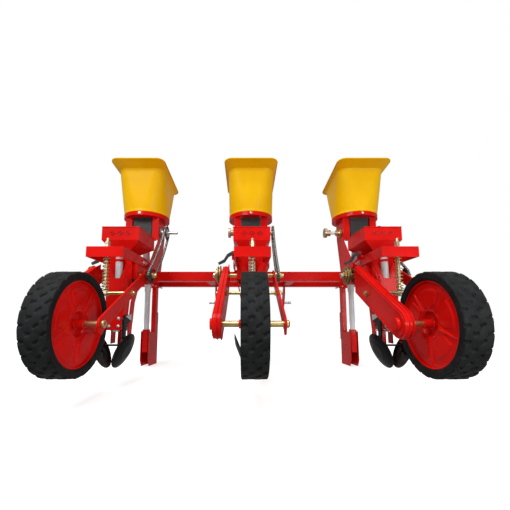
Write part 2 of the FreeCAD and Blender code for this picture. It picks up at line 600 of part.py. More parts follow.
def wheel_arm(name, side):
    """Flat bar on the right; inner plate with the hollow chain case on the left."""
    length = "sqrt(pivot_y ^ 2 + (pivot_z - tyre_od / 2) ^ 2)"
    half = "arm_width / 2"
    bar = along_arm(fuse(block(("arm_x", "arm_x + arm_wall"), (0, length), (f"-{half}", half)),
                         round_bar("x", half, "arm_x", "arm_x + arm_wall"),
                         round_bar("x", half, "arm_x", "arm_x + arm_wall", a=length)))
    right = cut(bar, round_bar("x", "axle_radius + running", "arm_x - 1", "arm_x + 60", a=0, b="tyre_od / 2"),
                round_bar("x", "shaft_radius + running", "arm_x - 1", "arm_x + 60", a="pivot_y", b="pivot_z"),
                round_bar("x", "pin_radius", "arm_x - 1", "arm_x + 60", a="pin_y", b=PIN_Z))

    def case(shrink, low, high):
        low_r, high_r = f"case_low_radius - {shrink}", f"case_high_radius - {shrink}"
        hull = plate([(0, f"-{low_r}"), (length, f"-({high_r})"), (length, high_r), (0, low_r)], low,
                     f"({high}) - ({low})")
        hull.Placement = Placement()
        at(hull, low)
        return along_arm(fuse(hull, round_bar("x", low_r, low, high),
                              round_bar("x", high_r, low, high, a=length)))

    face = "-case_x - case_deep"
    above = ("pivot_z - 130", "pivot_z + 90")
    beyond = [block((f"{face} - 1", "-case_x - plate_wall"), ("case_end_y", "pivot_y + 90"), above),
              block(("-case_x - plate_wall - 1", "-case_x + 1"), ("pivot_y - 24", "pivot_y + 90"), above)]
    shell = cut(case("0", face, "-case_x"), *beyond)
    tongue = along_arm(fuse(block(("-case_x - plate_wall", "-case_x"), (f"{length} - 60", length), (-34, 34)),
                            round_bar("x", 34, "-case_x - plate_wall", "-case_x", a=length)))
    boss = round_bar("x", 22, "-case_x - case_wide", f"{face} + 1", a=0, b="tyre_od / 2")
    tools = [case("case_wall", f"{face} + case_wall", "-case_x - plate_wall"),
             round_bar("x", "axle_radius + running", "-case_x - case_wide + case_wall", "-case_x + 1", a=0,
                       b="tyre_od / 2"),
             round_bar("x", "shaft_radius + running", "-case_x - 60", "-case_x + 1", a="pivot_y",
                       b="pivot_z"),
             round_bar("x", "pin_radius", "-case_x - 60", "-case_x + 1", a="pin_y", b=PIN_Z)]
    left = cut(fuse(shell, tongue, boss), *tools)
    seat(group(right, left), name, side)


def arm_hardware(name, side):
    """Cross pin that ties the arms together and carries the spring rod, and the chain in the case."""
    left = "-case_x - case_deep"
    right = "arm_x + arm_wall"
    pin = round_bar("x", "pin_radius", f"{left} - 18", f"{right} + 18", a="pin_y", b=PIN_Z)
    nuts = [nut("x", 22, f"{right}", f"{right} + 12", a="pin_y", b=PIN_Z),
            nut("x", 22, f"{left} - 12", left, a="pin_y", b=PIN_Z),
            nut("x", 22, "arm_x - 10", "arm_x", a="pin_y", b=PIN_Z),
            nut("x", 22, "-case_x", "-case_x + 10", a="pin_y", b=PIN_Z)]
    chain = chain_loop(0, "tyre_od / 2", "30 + apart", "pivot_y", "pivot_z", "30 + apart", "-case_x - 22",
                       9, 6)
    seat(group(fuse(pin, *nuts), chain), name, side)


def spring_rod(name, side):
    """Threaded rod with an eye on the cross pin, a collar under the spring and lock nuts on top."""
    eye = round_bar("x", 16, -13, 13, a="pin_y", b=PIN_Z)
    stem = round_bar("z", "rod_radius", PIN_Z, "rod_top", b="pin_y")
    collar = round_bar("z", "spring_od / 2", "spring_low - apart - 4", "spring_low - apart", b="pin_y")
    top = "shelf_z + strip_wall + apart"
    nuts = [round_bar("z", 14, top, f"{top} + 3", b="pin_y"),
            nut("z", 22, f"{top} + 3", f"{top} + 15", b="pin_y"), nut("z", 22, f"{top} + 17", f"{top} + 29",
                                                                      b="pin_y")]
    bore = round_bar("x", "pin_radius + running", -14, 14, a="pin_y", b=PIN_Z)
    seat(cut(fuse(eye, stem, collar, *nuts), bore), name, side)


def spring(name, side):
    """Compression spring between the rod's collar and the bracket's shelf."""
    mean = value("(spring_od - spring_wire) / 2")
    height = value("shelf_z - spring_low - 2 * apart - spring_wire")
    helix = Part.makeHelix(height / value("spring_turns"), height, mean)
    section = Part.Wire(Part.Circle(Vector(mean, 0, 0), Vector(0, 1, 0), value("spring_wire / 2")).toShape())
    coil = doc.addObject("Part::Feature", "coil")
    coil.Shape = Part.Wire(helix).makePipeShell([section], True, True)
    at(coil, y="pin_y", z="spring_low + apart + spring_wire / 2")
    seat(group(coil), name, side)


def drive_shaft(name, side):
    """Cross shaft with its clutch and wing bolt, three sprockets and the seed metering roller."""
    left = "-feed_tip"
    shaft = round_bar("x", "shaft_radius", left, 176)
    outer = round_bar("x", "sprocket_radius", "sprocket_x", "sprocket_x + sprocket_thick")
    collar = round_bar("x", 15, "sprocket_x + sprocket_thick", "sprocket_x + sprocket_thick + 12")
    inner = round_bar("x", 30, "-case_x - 20", "-case_x - 15")
    black = round_bar("x", 41.5, "meter_half + 6", "meter_half + 11")
    roller = round_bar("x", "rotor_radius", "-meter_half + 7", "meter_half - 7")
    clutch = [round_bar("x", "clutch_radius", "-clutch_x", "-clutch_x + 9"),
              round_bar("x", "clutch_radius - 5", "-clutch_x - 14", "-clutch_x - 5"),
              round_bar("x", 20, "-clutch_x - 30", "-clutch_x + 9")]
    wings = [block((f"{left} + 2", f"{left} + 7"), (-24, 24), (-6, 6))]
    seat(fuse(shaft, outer, collar, inner, black, roller, *clutch, *wings), name, side, y="pivot_y",
         z="pivot_z")


def metering_shaft(name, side):
    """Shaft through the fertiliser meter with its fluted roller, sprocket and bearing collars."""
    inside = "plate_x + plate_wall"
    left, right = ("-feed_tip", "feed_tip") if side else ("-middle_knob", "sprocket_x + 14")
    shaft = round_bar("x", "feed_radius", f"{left} + 17", right)
    sprocket = round_bar("x", "feed_sprocket_radius", "sprocket_x", "sprocket_x + sprocket_thick")
    collars = [round_bar("x", 16, f"{inside} + apart", "sprocket_x")]
    if side:
        collars.append(round_bar("x", 27, f"-({inside}) - 34", f"-({inside}) - apart"))
    roller = round_bar("x", 26, -50, 50)
    seat(fuse(shaft, sprocket, *collars, roller), name, side, y="feed_y", z="feed_z")


def adjusting_knob(name, side):
    """Hand knob on the shaft's left end that sets the fertiliser rate; the middle unit's is set close in."""
    left = "-feed_tip" if side else "-middle_knob"
    knob = fuse(round_bar("x", 31, left, f"{left} + 16"), round_bar("x", 20, f"{left} + 16", f"{left} + 40"))
    bore = round_bar("x", "feed_radius + running", f"{left} + 15", f"{left} + 41")
    seat(cut(knob, bore), name, side, y="feed_y", z="feed_z")


def clutch_lever(name, side):
    """Cast lever that lifts the drive clutch out, hinged on the bracket's lug."""
    hub = round_bar("y", 10, -13, "-apart")
    arm = plate([(8, -6), (-4, 10), (-34, -8), (-52, -38), (-84, -56), (-80, -68), (-46, -54), (-26, -24)],
                0, 12, "XZ_Plane")
    bore = round_bar("y", "5 + running", -14, 1)
    seat(cut(fuse(hub, at(arm, y="-apart")), bore), name, side, x="lug_x", y="lug_y", z="lug_z")


def disc_turn(sign):
    """How a covering disc stands: front edge and top outwards; local X points outwards."""
    toe = Rotation(Vector(0, 0, 1), -value("disc_toe") * sign)
    camber = Rotation(Vector(0, 1, 0), value("disc_camber") * sign)
    facing = Rotation(Vector(0, 0, 1), 0 if sign > 0 else 180)
    return toe.multiply(camber).multiply(facing)


def disc_stub(sign):
    """Fixed stub axle on which one covering disc turns."""
    stub = doc.addObject("Part::Feature", "disc_stub")
    stub.Shape = Part.makeCylinder(value("stub_radius"), 22.5, Vector(-24, 0, 0), Vector(1, 0, 0))
    stub.Placement = Placement(Vector(value(f"disc_x * {sign}"), value("disc_y"), value("disc_z")),
                               disc_turn(sign))
    return stub


def disc_arms():
    """Flat arms down from the opener's legs, each with its stub axle, and the rod between them."""
    pieces = []
    for sign in (-1, 1):
        low = "disc_arm_x" if sign > 0 else "-disc_arm_x - disc_arm_wall"
        pieces.append(plate([("disc_y - 16", "disc_z - 2"), ("disc_y + 16", "disc_z - 2"),
                             ("disc_y + 18", 186),
                             (446, 204), (446, 240), ("disc_y + 2", 228), ("disc_y - 14",
                                                                           206)], low, "disc_arm_wall"))
        pieces.append(disc_stub(sign))
    pieces.append(round_bar("x", 5, "-disc_arm_x", "disc_arm_x", a="disc_y", b="disc_z + 32"))
    return pieces


def covering_disc(name, side, sign):
    """Dished disc with its hub, cambered and toed; built about X and then turned."""
    wall, radius = "disc_wall", "disc_radius"
    dish = spun([(0, 0), (0, 36), (-7, f"{radius} - 22"), (-16, radius), (f"-16 + {wall}", radius),
                 (f"-7 + {wall}", f"{radius} - 22"), (wall, 36), (wall, 0)])
    bore = "stub_radius + running"
    hub = spun([(-8, bore), (-8, 16), (0.5, 16), (0.5, bore)])
    disc = fuse(dish, hub)
    disc.Placement = Placement(Vector(0, 0, 0), disc_turn(sign))
    seat(group(disc), name, side, x=f"disc_x * {sign}", y="disc_y", z="disc_z")


def check_and_write():
    doc.recompute()
    for thing in doc.Objects:
        if {"Invalid", "Error"} & set(thing.State):
            raise RuntimeError(f"{thing.Name} ({thing.Label}) failed: {thing.State}")
    os.makedirs("parts", exist_ok=True)
    for node in nodes:
        if node.Shape.isNull() or not node.Shape.isValid():
            raise RuntimeError(f"{node.Label} has no valid shape")
        node.Shape.exportStep(os.path.join("parts", node.Label + ".step"))
        print(node.Label, len(node.Shape.Solids), round(node.Shape.Volume / 1000, 1))


seat(group(beam("rear_beam_y"), beam("front_beam_y")), "cross_beams")
hitch()
beam_clamps()
shared_pieces()
for word, side in SIDES:
    unit_frame(f"unit_frame_{word}", side)
    seed_box(f"seed_box_{word}", side)
    hopper(f"fertiliser_hopper_{word}", side)
    seed_opener(f"seed_opener_{word}", side)
    fertiliser_opener(f"fertiliser_opener_{word}", side)
    tyre(f"tyre_{word}", side)
    wheel_disc(f"wheel_disc_{word}", side)
    wheel_arm(f"wheel_arm_{word}", side)
    arm_hardware(f"arm_pin_and_chain_{word}", side)
    spring_rod(f"spring_rod_{word}", side)
    spring(f"spring_{word}", side)
    drive_shaft(f"drive_shaft_{word}", side)
    metering_shaft(f"metering_shaft_{word}", side)
    adjusting_knob(f"adjusting_knob_{word}", side)
    clutch_lever(f"clutch_lever_{word}", side)
    covering_disc(f"covering_disc_left_{word}", side, -1)
    covering_disc(f"covering_disc_right_{word}", side, 1)
check_and_write()
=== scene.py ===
import json
import math

import bmesh
import bpy
from mathutils import Matrix, Vector


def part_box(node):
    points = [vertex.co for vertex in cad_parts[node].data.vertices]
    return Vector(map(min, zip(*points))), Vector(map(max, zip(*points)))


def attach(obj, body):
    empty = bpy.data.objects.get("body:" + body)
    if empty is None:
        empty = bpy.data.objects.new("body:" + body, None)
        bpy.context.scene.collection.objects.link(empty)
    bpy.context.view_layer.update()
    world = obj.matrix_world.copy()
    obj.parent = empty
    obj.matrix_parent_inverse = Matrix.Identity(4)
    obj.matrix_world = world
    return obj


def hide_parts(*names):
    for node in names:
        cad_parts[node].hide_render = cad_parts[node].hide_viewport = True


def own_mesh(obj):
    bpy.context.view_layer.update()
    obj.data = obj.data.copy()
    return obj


# Shapes are written in millimetres in one row unit's own frame: X to the right from the unit's middle,
# Y forward from the wheel's axle, Z up from the foot of the tyre. place() puts them into the frame in metres.

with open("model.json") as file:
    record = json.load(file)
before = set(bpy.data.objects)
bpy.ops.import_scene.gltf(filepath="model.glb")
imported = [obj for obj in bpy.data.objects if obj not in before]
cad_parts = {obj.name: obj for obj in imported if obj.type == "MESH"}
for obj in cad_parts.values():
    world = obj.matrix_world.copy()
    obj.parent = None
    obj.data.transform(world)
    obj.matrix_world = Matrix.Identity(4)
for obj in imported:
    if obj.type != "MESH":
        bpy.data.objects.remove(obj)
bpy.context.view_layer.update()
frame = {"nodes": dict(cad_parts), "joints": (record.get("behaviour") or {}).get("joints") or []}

MM = 0.001
UNITS = {"left": -1, "centre": 0, "right": 1}


def middle(low, high):
    return (low + high) / 2


TYRE_LOW, TYRE_HIGH = (Vector(corner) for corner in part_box("tyre_centre"))
PITCH = middle(*(corner[0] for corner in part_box("tyre_right"))) - middle(TYRE_LOW.x, TYRE_HIGH.x)
ORIGIN = Vector((middle(TYRE_LOW.x, TYRE_HIGH.x), middle(TYRE_LOW.y, TYRE_HIGH.y), TYRE_LOW.z))


def local(point):
    """A point of the frame in the centre unit's millimetres."""
    return (Vector(point) - ORIGIN) / MM


def local_box(node):
    low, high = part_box(node)
    return local(low), local(high)


# ---------------------------------------------------------------- driving places, read from the frame

AXLE_Z = (TYRE_HIGH.z - TYRE_LOW.z) / MM / 2
TYRE_RADIUS = AXLE_Z
TYRE_HALF = (TYRE_HIGH.x - TYRE_LOW.x) / MM / 2
JOINTS = {joint["name"]: joint for joint in frame["joints"]}
PIVOT = local(JOINTS["arm_swing_centre"]["pos_m"])
FEED = local(JOINTS["meter_spin_centre"]["pos_m"])
PIN = local(JOINTS["rod_tilt_centre"]["pos_m"])
SPRING_LOW, SPRING_HIGH = local_box("spring_centre")
RING_TOP = local_box("unit_frame_centre")[1].z
BOX_LOW, BOX_HIGH = local_box("seed_box_centre")
HOPPER_LOW, HOPPER_HIGH = local_box("fertiliser_hopper_centre")
TUBE_LOW, TUBE_HIGH = local_box("fertiliser_tubes")

# ---------------------------------------------------------------- driving sizes, shared by several pieces

RIM_RADIUS = 166
WEB_HALF = 30
HUB_RADIUS = 17
HUB_HALF = 57
AXLE_RADIUS = 8
SPACER_RADIUS = 12
ARM_X = 115
ARM_FACE = ARM_X + 8
CASE_FACE = -153
CASE_PLATE = -122.5
CASE_RADIUS = 55
CASE_PIVOT_RADIUS = 62
CASE_END_Y = 410
SHAFT_RADIUS = 10
FEED_RADIUS = 9
SPROCKET_X = 142
SPROCKET_THICK = 5
SPROCKET_FACE = SPROCKET_X + SPROCKET_THICK
CHAIN_PITCH = 12.7
CHAIN_X = SPROCKET_X + SPROCKET_THICK / 2
CASE_CHAIN_X = -138.5
CLUTCH_X = -172
PLATE_X = 106
BRACKET_LEG_X = 88
BOX_BEND_Z = 631
HOPPER_FOOT_Y = 781
HOPPER_FOOT_RADIUS = 140
BRIM_FALL = 48
TUBE_X = -8.5
TUBE_Y = TUBE_HIGH.y - 22


# ---------------------------------------------------------------- finishes

class Finish:
    """One procedural material, built up node by node."""

    def __init__(self, name, **sockets):
        self.material = bpy.data.materials.new(name)
        self.material.use_nodes = True
        self.tree = self.material.node_tree
        self.shader = self.tree.nodes["Principled BSDF"]
        self.place = self.add("ShaderNodeTexCoord").outputs["Object"]
        for socket, amount in sockets.items():
            self.shader.inputs[socket.replace("_", " ")].default_value = amount

    def add(self, kind, inputs=None, **settings):
        node = self.tree.nodes.new(kind)
        for key, setting in settings.items():
            setattr(node, key, setting)
        for socket, what in (inputs or {}).items():
            if isinstance(what, bpy.types.NodeSocket):
                self.tree.links.new(what, node.inputs[socket])
            else:
                node.inputs[socket].default_value = what
        return node

    def noise(self, scale, detail=3, stretch=(1, 1, 1)):
        """Noise in the frame's own space; stretch squeezes it along an axis."""
        spread = self.add("ShaderNodeMapping", {"Vector": self.place, "Scale": stretch})
        return self.add("ShaderNodeTexNoise", {"Vector": spread.outputs[0], "Scale": scale,
                                               "Detail": detail}).outputs[0]

    def ramp(self, source, low, high, start=0.0, end=1.0):
        node = self.add("ShaderNodeMapRange", {0: source, 1: low, 2: high, 3: start, 4: end})
        return node.outputs[0]

    def times(self, a, b):
        return self.add("ShaderNodeMath", {0: a, 1: b}, operation="MULTIPLY").outputs[0]

    def mix(self, factor, a, b):
        return self.add("ShaderNodeMix", {0: factor, 6: a, 7: b}, data_type="RGBA").outputs[2]

    def edges(self, radius):
        """1 on sharp edges and 0 on flat faces."""
        rounded = self.add("ShaderNodeBevel", {"Radius": radius}, samples=4).outputs[0]
        normal = self.add("ShaderNodeNewGeometry").outputs["Normal"]
        dot = self.add("ShaderNodeVectorMath", {0: rounded, 1: normal}, operation="DOT_PRODUCT")
        return self.ramp(dot.outputs["Value"], 0.98, 0.80)

    def colour(self, source):
        self.tree.links.new(source, self.shader.inputs["Base Color"])

    def rough(self, source):
        self.tree.links.new(source, self.shader.inputs["Roughness"])

    def bumps(self, *layers):
        """Stacked bumps, each (height, depth in metres, strength)."""
        normal = None
        for height, depth, strength in layers:
            inputs = {"Height": height, "Distance": depth, "Strength": strength}
            if normal:
                inputs["Normal"] = normal
            normal = self.add("ShaderNodeBump", inputs).outputs[0]
        self.tree.links.new(normal, self.shader.inputs["Normal"])
        return self.material


def rgb(red, green, blue):
    return (red, green, blue, 1.0)


def gloss_paint(name, deep, bright, worn_and_highlight, dust):
    """Sprayed gloss paint: uneven tone, orange peel, dull dust, and edges lightened partly as worn paint and
    partly as a painted highlight, with dark chips on them.
    """
    finish = Finish(name, Coat_Weight=0.13, Coat_Roughness=0.07, Specular_IOR_Level=0.05)
    tone = finish.mix(finish.ramp(finish.noise(7), 0.3, 0.7), deep, bright)
    patches = finish.ramp(finish.noise(21, 6), 0.52, 0.78, 0.0, 0.20)
    tone = finish.mix(patches, tone, dust)
    chips = finish.ramp(finish.noise(260, 2), 0.56, 0.66)
    # Edges lightened towards the worn colour: partly worn paint, partly a painted highlight where edges catch
    # the light.
    worn_and_highlit_edges = finish.times(finish.edges(0.0016), finish.ramp(finish.noise(45, 4), 0.42, 0.62))
    tone = finish.mix(finish.times(worn_and_highlit_edges, 0.55), tone, worn_and_highlight)
    tone = finish.mix(finish.times(finish.times(worn_and_highlit_edges, chips), 0.5), tone, rgb(0.20, 0.16, 0.14))
    finish.colour(tone)
    finish.rough(finish.ramp(finish.noise(34, 5), 0.25, 0.75, 0.24, 0.42))
    return finish.bumps((finish.noise(640, 2), 0.0005, 0.10), (finish.noise(26, 2), 0.0015, 0.12))


def hopper_plastic():
    """Rotational-moulded polyethylene: satin, slightly cloudy, with faint flow marks and fine grain."""
    finish = Finish("hopper_plastic", Specular_IOR_Level=0.12, Subsurface_Weight=0.08, Subsurface_Scale=0.01)
    tone = finish.mix(finish.ramp(finish.noise(5, 4), 0.3, 0.7), rgb(0.84, 0.455, 0.0004),
                      rgb(0.91, 0.52, 0.0008))
    streak = finish.ramp(finish.noise(16, 4, (1, 1, 0.18)), 0.55, 0.8, 0.0, 0.20)
    tone = finish.mix(streak, tone, rgb(1.0, 0.66, 0.006))
    finish.colour(tone)
    finish.rough(finish.ramp(finish.noise(40, 4), 0.3, 0.7, 0.30, 0.46))
    return finish.bumps((finish.noise(900, 2), 0.0004, 0.18), (finish.noise(11, 3), 0.003, 0.18))


def tyre_rubber():
    """Black rubber, a little dusty."""
    finish = Finish("tyre_rubber", Specular_IOR_Level=0.14)
    tone = finish.mix(finish.ramp(finish.noise(30, 5), 0.35, 0.7), rgb(0.006, 0.0062, 0.0065),
                      rgb(0.014, 0.015, 0.016))
    dusty = finish.ramp(finish.noise(90, 6), 0.55, 0.8, 0.0, 0.30)
    finish.colour(finish.mix(dusty, tone, rgb(0.030, 0.028, 0.025)))
    finish.rough(finish.ramp(finish.noise(120, 4), 0.3, 0.7, 0.55, 0.78))
    return finish.bumps((finish.noise(1500, 2), 0.0003, 0.35), (finish.noise(160, 3), 0.0006, 0.2))


def metal(name, cool, warm, rough, grain=420, metallic=1.0, stretch=(1, 1, 1)):
    """Bare or plated metal with clouded tone, dull spots and a fine grain."""
    finish = Finish(name, Metallic=metallic)
    tone = finish.mix(finish.ramp(finish.noise(60, 4), 0.35, 0.68), cool, warm)
    spots = finish.ramp(finish.noise(210, 5), 0.60, 0.78, 0.0, 0.45)
    finish.colour(finish.mix(spots, tone, rgb(*(channel * 0.45 for channel in cool[:3]))))
    finish.rough(finish.ramp(finish.noise(150, 4), 0.3, 0.7, rough - 0.08, rough + 0.12))
    return finish.bumps((finish.noise(grain, 3, stretch), 0.0003, 0.22), (finish.noise(70, 3), 0.0008, 0.12))


def threaded(name, cool, warm):
    """Plated rod with a thread cut round its upright axis."""
    finish = Finish(name, Metallic=1.0)
    finish.colour(finish.mix(finish.ramp(finish.noise(80, 4), 0.35, 0.68), cool, warm))
    finish.rough(finish.ramp(finish.noise(150, 4), 0.3, 0.7, 0.28, 0.42))
    rings = finish.add("ShaderNodeTexWave", {"Vector": finish.place, "Scale": 105.0, "Distortion": 0.0},
                       bands_direction="Z").outputs[1]
    return finish.bumps((rings, 0.0008, 0.8), (finish.noise(300, 3), 0.0003, 0.2))


def tube_plastic(name, pale, dark):
    """Cloudy thin-walled plastic."""
    finish = Finish(name, Subsurface_Weight=0.15, Subsurface_Scale=0.01)
    finish.colour(finish.mix(finish.ramp(finish.noise(12, 5, (1, 1, 0.4)), 0.35, 0.7), pale, dark))
    finish.rough(finish.ramp(finish.noise(50, 4), 0.3, 0.7, 0.26, 0.42))
    return finish.bumps((finish.noise(500, 2), 0.0003, 0.15), (finish.noise(24, 3, (1, 1, 0.3)), 0.002, 0.2))


RED = gloss_paint("red_paint", rgb(0.52, 0.003, 0.002), rgb(0.68, 0.006, 0.004), rgb(0.84, 0.05, 0.03),
                  rgb(0.60, 0.024, 0.018))
# A lighter copy of the red paint: a painted highlight, used on the chain case's pressed boss.
HIGHLIGHT_RED = gloss_paint("painted_highlight_red_paint", rgb(0.76, 0.010, 0.005), rgb(0.86, 0.018, 0.008),
                         rgb(0.90, 0.09, 0.05), rgb(0.74, 0.05, 0.03))
BLACK = gloss_paint("black_paint", rgb(0.003, 0.003, 0.003), rgb(0.006, 0.006, 0.006),
                    rgb(0.03, 0.028, 0.026), rgb(0.014, 0.013, 0.012))
# A darker copy of the red paint: painted shade, used for the outlines of the pressed diamonds on the seed
# box.
SHADE_RED = gloss_paint("painted_shade_red_paint", rgb(0.20, 0.004, 0.004), rgb(0.28, 0.006, 0.006),
                   rgb(0.50, 0.05, 0.04), rgb(0.30, 0.04, 0.04))
YELLOW = hopper_plastic()
RUBBER = tyre_rubber()
YELLOW_ZINC = metal("yellow_zinc", rgb(0.52, 0.43, 0.22), rgb(0.70, 0.52, 0.24), 0.34)
ZINC = metal("zinc", rgb(0.55, 0.56, 0.58), rgb(0.70, 0.70, 0.69), 0.32)
BRASS = metal("clutch_bronze", rgb(0.36, 0.25, 0.11), rgb(0.52, 0.36, 0.16), 0.36)
KNOB_BRONZE = metal("knob_bronze", rgb(0.40, 0.30, 0.19), rgb(0.56, 0.44, 0.30), 0.42)
CHAIN_STEEL = metal("chain_steel", rgb(0.055, 0.052, 0.050), rgb(0.11, 0.10, 0.092), 0.40)
PIN_STEEL = metal("pin_steel", rgb(0.26, 0.25, 0.24), rgb(0.40, 0.38, 0.36), 0.30)
DARK_STEEL = metal("dark_steel", rgb(0.045, 0.043, 0.042), rgb(0.10, 0.095, 0.09), 0.42)
GREY_CAST = metal("grey_cast", rgb(0.22, 0.22, 0.225), rgb(0.34, 0.34, 0.34), 0.50, 260, 0.7)
BLACK_CAST = metal("black_cast", rgb(0.016, 0.016, 0.017), rgb(0.035, 0.034, 0.033), 0.48, 240, 0.3)
THREAD = threaded("threaded_zinc", rgb(0.55, 0.50, 0.36), rgb(0.68, 0.60, 0.40))
TUBE_GREY = tube_plastic("tube_grey", rgb(0.60, 0.61, 0.62), rgb(0.42, 0.43, 0.44))
TUBE_PALE = tube_plastic("tube_pale", rgb(0.74, 0.75, 0.76), rgb(0.56, 0.57, 0.59))


# ---------------------------------------------------------------- mesh shapes, each (points, faces)

AXES = {
    "x": Matrix(((0, 0, 1), (1, 0, 0), (0, 1, 0))),
    "y": Matrix(((0, 1, 0), (0, 0, 1), (1, 0, 0))),
    "z": Matrix.Identity(3),
}


def on_axis(axis, a, b):
    """The point of an axis that has a and b on the other two."""
    return {"x": (0, a, b), "y": (a, 0, b), "z": (a, b, 0)}[axis]


def strip_faces(rows, count, closed_rows=False):
    """Quads between rows of points that each run once round."""
    faces = []
    for row in range(rows if closed_rows else rows - 1):
        here, there = row * count, (row + 1) % rows * count
        for i in range(count):
            ahead = (i + 1) % count
            faces.append((here + i, here + ahead, there + ahead, there + i))
    return faces


def lathe(profile, axis="x", centre=(0, 0, 0), steps=48, phase=0.0):
    """A profile of (along, radius) turned about an axis and capped at both ends."""
    points = []
    for along, radius in profile:
        for i in range(steps):
            angle = 2 * math.pi * i / steps + phase
            spot = Vector((radius * math.cos(angle), radius * math.sin(angle), along))
            points.append(AXES[axis] @ spot + Vector(centre))
    faces = strip_faces(len(profile), steps)
    faces.append(tuple(reversed(range(steps))))
    faces.append(tuple(range((len(profile) - 1) * steps, len(profile) * steps)))
    return points, faces


def washer_ring(profile, axis="x", centre=(0, 0, 0), steps=48):
    """A closed profile of (along, radius) turned about an axis, open in the middle."""
    points, faces = lathe(profile, axis, centre, steps)
    return points, strip_faces(len(profile), steps, closed_rows=True)


def rod(axis, radius, low, high, a=0.0, b=0.0, steps=32, chamfer=0.8):
    """A round bar along an axis with chamfered ends; a and b place it on the other two axes."""
    profile = [(low, radius - chamfer), (low + chamfer, radius), (high - chamfer, radius),
               (high, radius - chamfer)]
    return lathe(profile, axis, on_axis(axis, a, b), steps)


def hex_head(axis, flats, low, high, a=0.0, b=0.0, outward=1):
    """A hexagon nut or bolt head with its corners chamfered on the outer face."""
    corner = flats / math.sqrt(3)
    chamfer = 0.16 * flats
    levels = [(low, corner), (high - 0.35 * chamfer, corner), (high, corner - chamfer)]
    if outward < 0:
        levels = [(low, corner - chamfer), (low + 0.35 * chamfer, corner), (high, corner)]
    return lathe(levels, axis, on_axis(axis, a, b), 6, math.radians(30))


def bolt(axis, size, face, a, b, outward=1):
    """A washer, a hexagon head and the shank's tip, standing out from a face."""
    def span(low, high):
        ends = (face + outward * low * size, face + outward * high * size)
        return min(ends), max(ends)

    washer = rod(axis, 1.15 * size, *span(0, 0.18), a, b, 32, 0.3)
    head = hex_head(axis, 1.6 * size, *span(0.18, 0.86), a, b, outward)
    tip = rod(axis, 0.5 * size, *span(0.8, 1.25), a, b, 24, 0.6)
    return [washer, head, tip]


def slab(points, low, high, plane="yz"):
    """An outline made solid between two levels of the remaining axis."""
    def put(pair, level):
        a, b = pair
        return Vector({"yz": (level, a, b), "xz": (a, level, b), "xy": (a, b, level)}[plane])
    count = len(points)
    solid = [put(pair, low) for pair in points] + [put(pair, high) for pair in points]
    faces = strip_faces(2, count)
    faces.append(tuple(reversed(range(count))))
    faces.append(tuple(range(count, 2 * count)))
    return solid, faces


def cuboid(x, y, z):
    """A block between two levels on each axis."""
    return slab([(y[0], z[0]), (y[1], z[0]), (y[1], z[1]), (y[0], z[1])], x[0], x[1])


def closed_path(corners, steps):
    """Even points along a closed outline with straight sides."""
    corners = [Vector(corner) for corner in corners]
    return [here.lerp(there, step / steps) for here, there in zip(corners, corners[1:] + corners[:1])
            for step in range(steps)]


def pipe(path, radii, steps=20, closed=False):
    """A round section swept along points without twisting; radii is one number or one for each point."""
    path = [Vector(point) for point in path]
    count = len(path)
    if not isinstance(radii, (list, tuple)):
        radii = [radii] * count
    points = []
    side = None
    for i, point in enumerate(path):
        before = path[i - 1] if closed or i else point
        after = path[(i + 1) % count] if closed or i < count - 1 else point
        ahead = (after - before).normalized()
        if side is None:
            side = ahead.orthogonal().normalized()
        side = (side - ahead * side.dot(ahead)).normalized()
        up = ahead.cross(side)
        for k in range(steps):
            angle = 2 * math.pi * k / steps
            points.append(point + (side * math.cos(angle) + up * math.sin(angle)) * radii[i])
    faces = strip_faces(count, steps, closed)
    if not closed:
        faces.append(tuple(reversed(range(steps))))
        faces.append(tuple(range((count - 1) * steps, count * steps)))
    return points, faces


TOOTH = ((0.0, -4.2), (0.13, -3.0), (0.30, 1.2), (0.42, 4.0), (0.58, 4.0), (0.70, 1.2), (0.87, -3.0))


def pitch_radius(teeth):
    """Where the chain's pins run round a wheel with that many teeth."""
    return CHAIN_PITCH / 2 / math.sin(math.pi / teeth)


def sprocket(x, teeth, centre):
    """A chain wheel with real teeth for the chain's pitch; TOOTH gives (share of a tooth, height)."""
    outline = []
    for tooth in range(teeth):
        for share, height in TOOTH:
            angle = 2 * math.pi * (tooth + share) / teeth
            radius = pitch_radius(teeth) + height
            outline.append((centre.y + radius * math.cos(angle), centre.z + radius * math.sin(angle)))
    return slab(outline, x, x + SPROCKET_THICK)


def radial_teeth(count, centre, inner, outer, low, high):
    """Teeth round an axis along X; inner and outer are (radius, half its angle)."""
    corners = [(inner[0], -inner[1]), (outer[0], -outer[1]), outer, inner]
    teeth = []
    for tooth in range(count):
        angle = 2 * math.pi * tooth / count
        outline = [(centre.y + radius * math.cos(angle + half), centre.z + radius * math.sin(angle + half))
                   for radius, half in corners]
        teeth.append(slab(outline, low, high))
    return teeth


def turned(solid, matrix):
    """A shape moved by a matrix."""
    points, faces = solid
    return [matrix @ Vector(point) for point in points], faces


# ---------------------------------------------------------------- pieces in the scene

def place(side):
    """From a unit's own millimetres to the frame; side is -1, 0 or 1."""
    shift = ORIGIN + Vector((PITCH * side, 0, 0))
    return Matrix.Translation(shift) @ Matrix.Scale(MM, 4)


